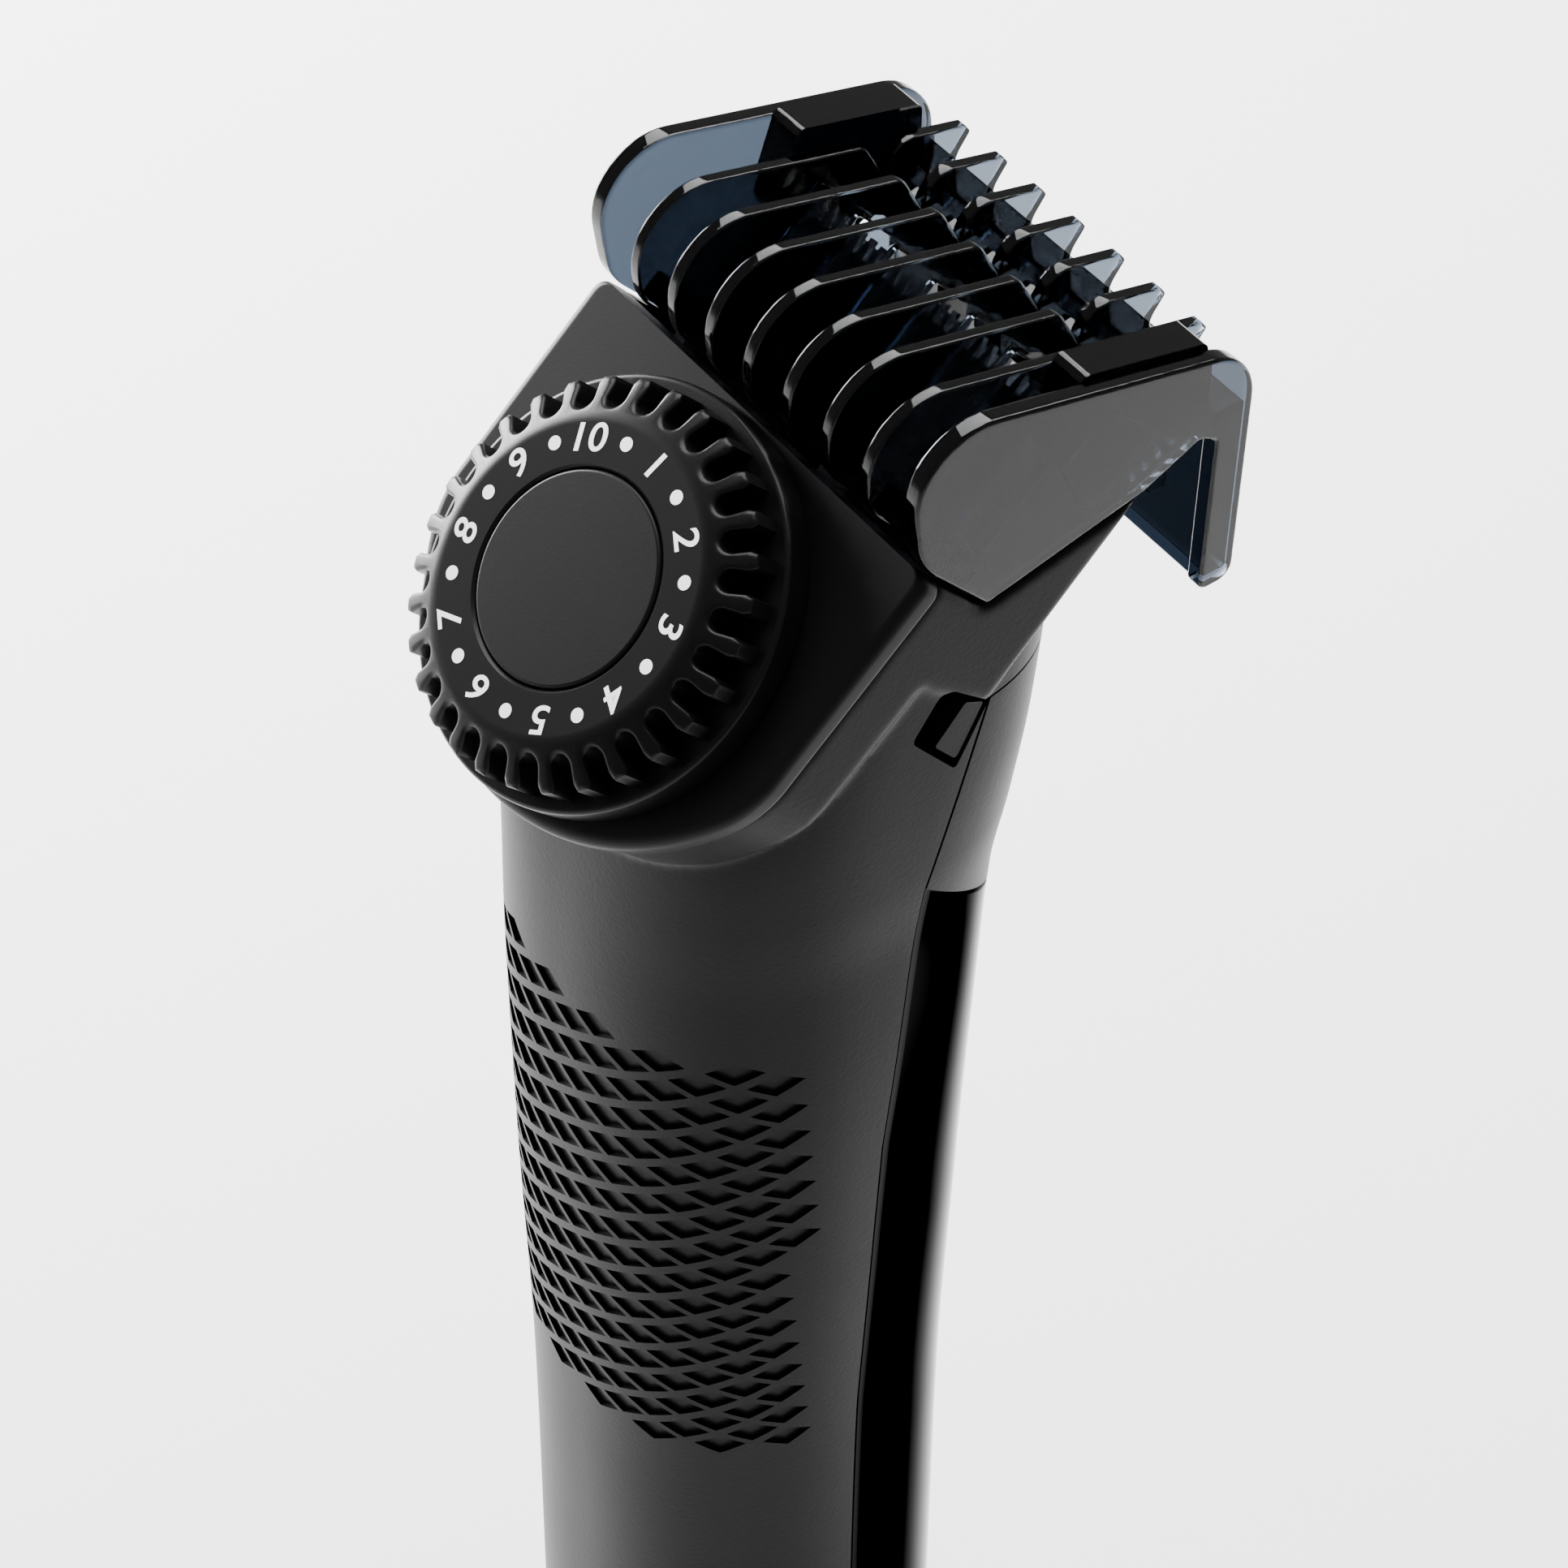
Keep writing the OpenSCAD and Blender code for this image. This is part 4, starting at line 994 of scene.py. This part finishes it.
@dataclass
class ThumbWheel:
    """The notched wheel with its printed steps."""

    notches: int = 30
    depth: float = 2.6
    dome_r: float = 11.5
    slope: float = 0.4
    print_r: float = 10.4
    figure: float = 2.2
    broad: float = 1.14
    steps: int = 10

    def _lobes(self, e: float) -> list[Point]:
        """The notched outline, set in by e."""
        pitch = 360 / self.notches
        half = 2 * S.wheel_r * math.pi / self.notches * 0.26
        floor = S.wheel_r - self.depth + half
        out: list[Point] = []
        for i in range(self.notches):
            a = i * pitch
            r = half + e
            ca, sa = math.cos(math.radians(a)), math.sin(math.radians(a))
            shoulder = S.wheel_r - 0.5 - e
            out.append((shoulder * ca + r * sa, shoulder * sa - r * ca))
            out += arc((floor * ca, floor * sa), r, a - 90, a - 270, 10)
            out.append((shoulder * ca - r * sa, shoulder * sa + r * ca))
            ease = math.degrees((r + 0.28) / S.wheel_r)
            out += arc((0, 0), S.wheel_r - e, a + ease, a + pitch - ease, 3)
        return out

    def _fall(self, r: float) -> float:
        """How far the domed margin lies below the face at a radius."""
        past = max(0.0, r - self.dome_r)
        return self.slope * (past * past / 2 if past < 1 else past - 0.5)

    def _crown(self) -> bpy.types.Object:
        """The notched part, whose face falls away towards its edge."""
        top = S.wheel_h
        rings: list[Loop] = [[head(x, v, 1.3) for x, v in self._lobes(0)]]
        for d, e in reversed(edge_profile(0.36)):
            rings.append([head(x, v, top - d - self._fall(math.hypot(x, v))) for x, v in self._lobes(e)])
        turns: list[float] = []
        last = -10.0
        for x, v in self._lobes(0.36):
            turn = math.degrees(math.atan2(v, x))
            last = max(last + (turn - last + 180) % 360 - 180, last + 0.02)
            turns.append(last)
        for r in (12.35, 12.1, 11.8, self.dome_r):
            ring = [(r * math.cos(math.radians(t)), r * math.sin(math.radians(t))) for t in turns]
            rings.append([head(x, v, top - self._fall(r)) for x, v in ring])
        return Maker.loops("lobes", rings)

    def build(self) -> None:
        """Builds the wheel and prints its face."""
        top = S.wheel_h
        flange = [(0, 0.3), (16.25, 0.3), (16.4, 0.45)]
        flange += [(16.4 - i, 2.9 - d) for d, i in reversed(edge_profile(0.45))]
        flange += [(0, 2.9)]
        wheel = Maker.lathe("thumb_wheel", flange, head, 160)
        Maker.solid(wheel, "UNION", self._crown())
        bore = [
            (0, -1), (1.95, -1), (1.95, 3.4), (6.9, 3.4), (6.9, 4.5), (8.22, 4.5), (8.22, top - 0.22), (8.48, top + 0.03),
            (8.48, top + 1), (0, top + 1),
        ]
        Maker.solid(wheel, "DIFFERENCE", Maker.lathe("bore", bore, head, 160), self._groove())
        settle(wheel, Finishes.WHEEL, "wheel", ["zoom_wheel"])
        self._print(top)

    def _groove(self) -> bpy.types.Object:
        """The spiral under the wheel that drives the follower pin."""
        turns = list(range(0, 325, 4))
        outer = [(4.0 + 10.64 * t / 324, 90 - t) for t in turns]
        line = [((r + 0.87) * math.cos(math.radians(a)), (r + 0.87) * math.sin(math.radians(a))) for r, a in outer]
        back = [((r - 0.87) * math.cos(math.radians(a)), (r - 0.87) * math.sin(math.radians(a))) for r, a in outer]
        ends = []
        for (r, a), first in ((outer[-1], 0), (outer[0], 180)):
            centre = (r * math.cos(math.radians(a)), r * math.sin(math.radians(a)))
            ends.append(arc(centre, 0.87, a + first - 30, a + first - 150, 5))
        outline = line + ends[0] + back[::-1] + ends[1]
        return Maker.on_face("groove", [(-1, outline), (2.2, outline)])

    def _print(self, top: float) -> None:
        """Prints the figures and the dots between them, tops outwards."""
        dots_points: list[Sequence[float]] = []
        dots_faces: list[list[int]] = []
        for step in range(self.steps):
            turn = 88 - 36 * step
            self._figure(str(step + 1), turn, top)
            a = math.radians(turn - 18)
            centre = (self.print_r * math.cos(a), self.print_r * math.sin(a))
            base = len(dots_points)
            dots_points += [head(x, v, top + 0.012) for x, v in arc(centre, 0.55, 0, 345, 23)]
            dots_faces.append(list(range(base, base + 24)))
        dots = Maker.raw("printed_dots", dots_points, dots_faces)
        self._lay(dots)

    def _figure(self, text: str, turn: float, top: float) -> None:
        """Prints one figure."""
        curve = bpy.data.curves.new("figure", "FONT")
        curve.body, curve.size, curve.shear = text, self.figure * 1.36 * MM, 0.1
        curve.align_x, curve.align_y = "CENTER", "CENTER"
        curve.offset = 0.035 * MM
        text_object = Maker.link("figure_source", curve)
        graph = bpy.context.evaluated_depsgraph_get()
        mesh = bpy.data.meshes.new_from_object(text_object.evaluated_get(graph))
        Maker.drop(text_object)
        xs, ys = [v.co.x for v in mesh.vertices], [v.co.y for v in mesh.vertices]
        mid = Vector(((max(xs) + min(xs)) / 2, (max(ys) + min(ys)) / 2, 0))
        a = math.radians(turn)
        spin = Matrix.Rotation(a - math.pi / 2, 2)
        for vertex in mesh.vertices:
            flat = spin @ Vector(((vertex.co.x - mid.x) * self.broad, vertex.co.y - mid.y)) / MM
            place = head(flat.x + self.print_r * math.cos(a), flat.y + self.print_r * math.sin(a), top + 0.012)
            vertex.co = [c * MM for c in place]
        mesh.update()
        self._lay(Maker.link(f"printed_{text}", mesh))

    @staticmethod
    def _lay(print_: bpy.types.Object) -> None:
        """Turns a print's faces up and hangs it on the wheel."""
        up = Vector((0, -SIN, COS))
        work = bmesh.new()
        work.from_mesh(print_.data)
        for face in work.faces:
            face.normal_update()
            if face.normal.dot(up) < 0:
                face.normal_flip()
        work.to_mesh(print_.data)
        work.free()
        wear(print_, Finishes.INK)
        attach(print_, "wheel")


@dataclass
class PushButton:
    """The on and off button in the middle of the dial."""

    skin: float = 0.4

    def build(self) -> None:
        """Builds the cap with its stem."""
        top = S.wheel_h
        low = top - 1.3
        profile = [(2.85 + 0.3, low), (S.button_r, low)]
        profile += [(S.button_r - i, top - d) for d, i in reversed(edge_profile(0.3))]
        profile += [(0, top), (0, top - 0.3), (1.1, top - 0.4), (1.1, top - self.skin), (3.15, top - self.skin)]
        cap = Maker.lathe("button_cap", profile, head, 128)
        stem = [(0, -8.2), (0.9, -8.2), (1.1, -8.0), (1.1, top - 0.2), (0, top - 0.2)]
        Maker.solid(cap, "UNION", Maker.lathe("stem", stem, head, 32))
        settle(cap, Finishes.BUTTON, "button", ["power_button"])


# ---------------------------------------------------------------- comb


@dataclass
class GuideComb:
    """The clear comb: two side plates, seven ribs, their fins and the bars between."""

    back: float = 31.6
    low: float = -5.5

    @staticmethod
    def skin(y: float, rise: float = 0.0) -> float:
        """Height of the skin side at a depth."""
        return 18.5 - math.tan(math.radians(S.skin_slope)) * (y - 20.4) + rise

    def _plate(self) -> list[Point]:
        """Outline of a side plate."""
        low, tip = side(16.5, -8.6), side(29.1, -15.8)
        return rounded([
            (low[0] + 0.1, low[1] + 0.35, 0.4), (1.6, 12.0, 6), (-0.1, self.skin(-0.1, 1.1), 5.5),
            (self.back, self.skin(self.back, 1.1), 5.5), (self.back, self.low, 1.5), (28.4, self.low, 0.8),
            (28.4, 9.8, 0.5), (26.8, 10.7, 0.8), (tip[0] + 0.1, tip[1] + 0.35, 0.4),
        ])

    def _rib(self) -> list[Point]:
        """Outline of a rib."""
        return rounded([
            (*side(17.2, -6.1), 0.0), (1.0, 13.4, 5), (0.4, self.skin(0.4), 5.5), (21.4, self.skin(21.4), 1.2),
            (22.3, 16.6, 0.2), (23.9, 13.2, 0.2), (23.9, 10.9, 0.2), (*side(31.7, -13), 0.3), (*side(31.7, -6.4), 0.3),
            (*side(17.2, -6.4), 0.0),
        ])

    def _fin(self) -> list[Point]:
        """Outline of a fin at the back."""
        return rounded([
            (23.2, 15.0, 0.6), (24.6, self.skin(24.6), 2.2), (30.9, self.skin(30.9), 0.3), (31.4, 15.3, 0.3),
            (30.2, 13.6, 2.5), (29.8, 11.2, 0.2), (29.8, 8.0, 0.2), (24.8, 10.9, 0.2), (23.2, 10.9, 0.2),
        ])

    def _blocks(self) -> list[Point]:
        """Outline of the raised block inside each plate."""
        return rounded([
            (14.2, 14.6, 0.5), (16.4, self.skin(16.4, 1.6), 0.8), (28, self.skin(28, 1.6), 0.8), (28, 12.4, 0.3),
            (21.4, 8.9, 0.3), (16.6, 8.9, 0.3),
        ])

    def build(self) -> None:
        """Joins every plate of the comb into one clear moulding."""
        edge_x = S.half_w - S.plate_t
        comb = Maker.slab("clear_comb", self._plate(), edge_x, S.half_w, 0.32)
        parts = [Maker.slab("plate", self._plate(), -S.half_w, -edge_x, 0.32)]
        middle = (S.rib_n - 1) / 2
        for i in range(S.rib_n):
            x = (i - middle) * S.rib_pitch
            parts.append(Maker.slab("rib", self._rib(), x - S.rib_t / 2, x + S.rib_t / 2, 0.22))
            parts.append(Maker.slab("fin", self._fin(), x - S.rib_t / 2, x + S.rib_t / 2, 0.16))
        inner = edge_x + 0.1
        bar = rounded([(23.2, 10.9, 0.2), (24.8, 10.9, 0.2), (24.8, 14.6, 0.2), (23.2, 14.6, 0.2)])
        wall = rounded([
            (28.6, self.low + 0.4, 0.5), (31.5, self.low + 0.4, 0.5), (31.5, 11.6, 0.3), (28.6, 11.6, 0.3),
        ])
        front = rounded([
            (*side(17.2, -2.4), 0.2), (*side(19.3, -2.4), 0.2),
            (*side(19.3, -6.1), 0.2), (*side(17.2, -6.1), 0.2),
        ])
        parts += [Maker.slab("bar", outline, -inner, inner) for outline in (bar, wall, front)]
        for s in (-1, 1):
            parts.append(Maker.slab("block", self._blocks(), *sorted((s * BLOCK_IN, s * inner)), 0.0))
        Maker.solid(comb, "UNION", *parts)
        tools = []
        for i in range(S.rib_n - 1):
            x = (i - (S.rib_n - 2) / 2) * S.rib_pitch
            w = (S.rib_pitch - 1.7) / 2
            hole = rounded([(27.6, -0.6), (32.8, -0.6), (32.8, 8.8), (27.6, 8.8)])
            tools.append(Maker.slab("vent", hole, x - w, x + w))
        pocket = S.gap - 0.05
        arm_out, arm_in = S.half_w - S.wall - S.gap, S.half_w - S.wall - S.gap - 1.2
        for s in (-1, 1):
            x0, x1 = sorted((s * (arm_in - pocket), s * (arm_out + pocket)))
            low, high = -13.6 - pocket, -7.5 + pocket
            outline = [side(0, low), side(33.25, low), side(33.25, high), side(0, high)]
            tools.append(Maker.slab("arm_pocket", outline, x0, x1))
        Maker.solid(comb, "DIFFERENCE", *tools)
        settle(comb, Finishes.COMB, "comb", ["guide_comb"], 28)


# ---------------------------------------------------------------- carried parts


@dataclass
class CarriedParts:
    """The parts that are shown as the CAD made them, each in its own finish."""

    nodes: dict[str, bpy.types.Object]
    finishes: dict[str, tuple[str, ...]] = field(default_factory=lambda: {
        "HOUSING": ("cutter_housing",),
        "INNER": (
            "charging_jack", "chassis", "power_switch", "guide_frame", "motor_bracket", "blade_yoke", "carriage",
        ),
        "STEEL": (
            "board_screws", "housing_screws", "frame_screws", "motor_can", "motor_shaft", "fixed_blade", "blade_screws",
            "moving_blade", "wheel_axle", "follower_pin",
        ),
        "SPRING": ("blade_spring", "detent_spring", "button_clip", "button_spring"),
        "BRASS": ("cell_contacts", "eccentric"),
        "BOARD": ("circuit_board",),
        "WRAP": ("rechargeable_cell",),
    })

    def dress(self) -> None:
        """Puts each part's finish on it."""
        for finish, names in self.finishes.items():
            for name in names:
                wear(self.nodes[name], getattr(Finishes, finish))
                LOG.info("%s: %s", name, finish.lower())


# ---------------------------------------------------------------- studio


@dataclass
class Studio:
    """A pale floor, soft lights and the camera."""

    position: tuple[float, float, float] = (175.0, -125.3, 362.5)
    forward: tuple[float, float, float] = (-0.5441, 0.4041, -0.7353)
    up: tuple[float, float, float] = (-0.598, 0.428, 0.677)
    lens: float = 93.2

    def build(self) -> None:
        """Sets up everything round the clipper."""
        self._floor()
        self._world()
        self._light("key_panel", (-0.85, -0.15, 0.28), (0, 0, 0.09), 0.5, 50.0)
        self._light("top_panel", (-0.35, 0.45, 0.9), (-0.1, 0.1, 0.0), 0.8, 30.0)
        self._camera()

    @staticmethod
    def _floor() -> None:
        """Lays the floor."""
        size = 1500.0
        rows = [-size, 0.0, size]
        points = [(x, y, -0.2) for y in rows for x in rows]
        faces = [(i, i + 1, i + 4, i + 3) for i in (0, 1, 3, 4)]
        floor = Maker.raw("floor", points, faces)
        wear(floor, Finishes.FLOOR)
        floor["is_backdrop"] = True

    @staticmethod
    def _world() -> None:
        """Fills the room with plain white light."""
        world = bpy.data.worlds.new("room")
        world.use_nodes = True
        sky = world.node_tree.nodes["Background"]
        sky.inputs["Color"].default_value = (1.0, 1.0, 1.0, 1.0)
        sky.inputs["Strength"].default_value = 0.5
        bpy.context.scene.world = world

    @staticmethod
    def _light(name: str, place: Sequence[float], aim: Sequence[float], size: float, power: float) -> None:
        """Hangs one soft light.

        Args:
            name: Name of the light.
            place: Its place in metres.
            aim: The point it faces.
            size: Width of its face in metres.
            power: Power in watts.
        """
        lamp = bpy.data.lights.new(name, "AREA")
        lamp.shape, lamp.size, lamp.energy = "SQUARE", size, power
        obj = bpy.data.objects.new(name, lamp)
        bpy.context.scene.collection.objects.link(obj)
        obj.location = place
        obj.rotation_euler = (Vector(aim) - Vector(place)).to_track_quat("-Z", "Y").to_euler()

    def _camera(self) -> None:
        """Points the camera down over the clipper's right shoulder."""
        data = bpy.data.cameras.new("camera")
        data.lens, data.sensor_width, data.clip_start = self.lens, 36.0, 0.01
        camera = bpy.data.objects.new("camera", data)
        bpy.context.scene.collection.objects.link(camera)
        back = -Vector(self.forward).normalized()
        right = Vector(self.up).cross(back).normalized()
        up = back.cross(right)
        turn = Matrix((right, up, back)).transposed().to_4x4()
        camera.matrix_world = Matrix.Translation(Vector(self.position) * MM) @ turn
        bpy.context.scene.camera = camera


# ---------------------------------------------------------------- the clipper


class Clipper:
    """The whole article."""

    def __init__(self) -> None:
        """Loads the CAD parts and notes their overall size."""
        self.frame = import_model()
        self.cad = [list(corner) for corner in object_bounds()]

    def build(self) -> None:
        """Builds every sub-assembly, then the studio."""
        for assembly in (Housing(), Faceplate(), ThumbWheel(), PushButton(), GuideComb()):
            LOG.info("building %s", type(assembly).__name__)
            assembly.build()
        CarriedParts(self.frame["nodes"]).dress()
        Studio().build()

    def note_size(self) -> None:
        """Brings the scene up to date."""
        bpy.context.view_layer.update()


def main() -> None:
    """Builds the clipper."""
    logging.basicConfig(level=logging.INFO, format="%(name)s %(message)s")
    clipper = Clipper()
    clipper.build()
    clipper.note_size()


if __name__ == "__main__":
    main()
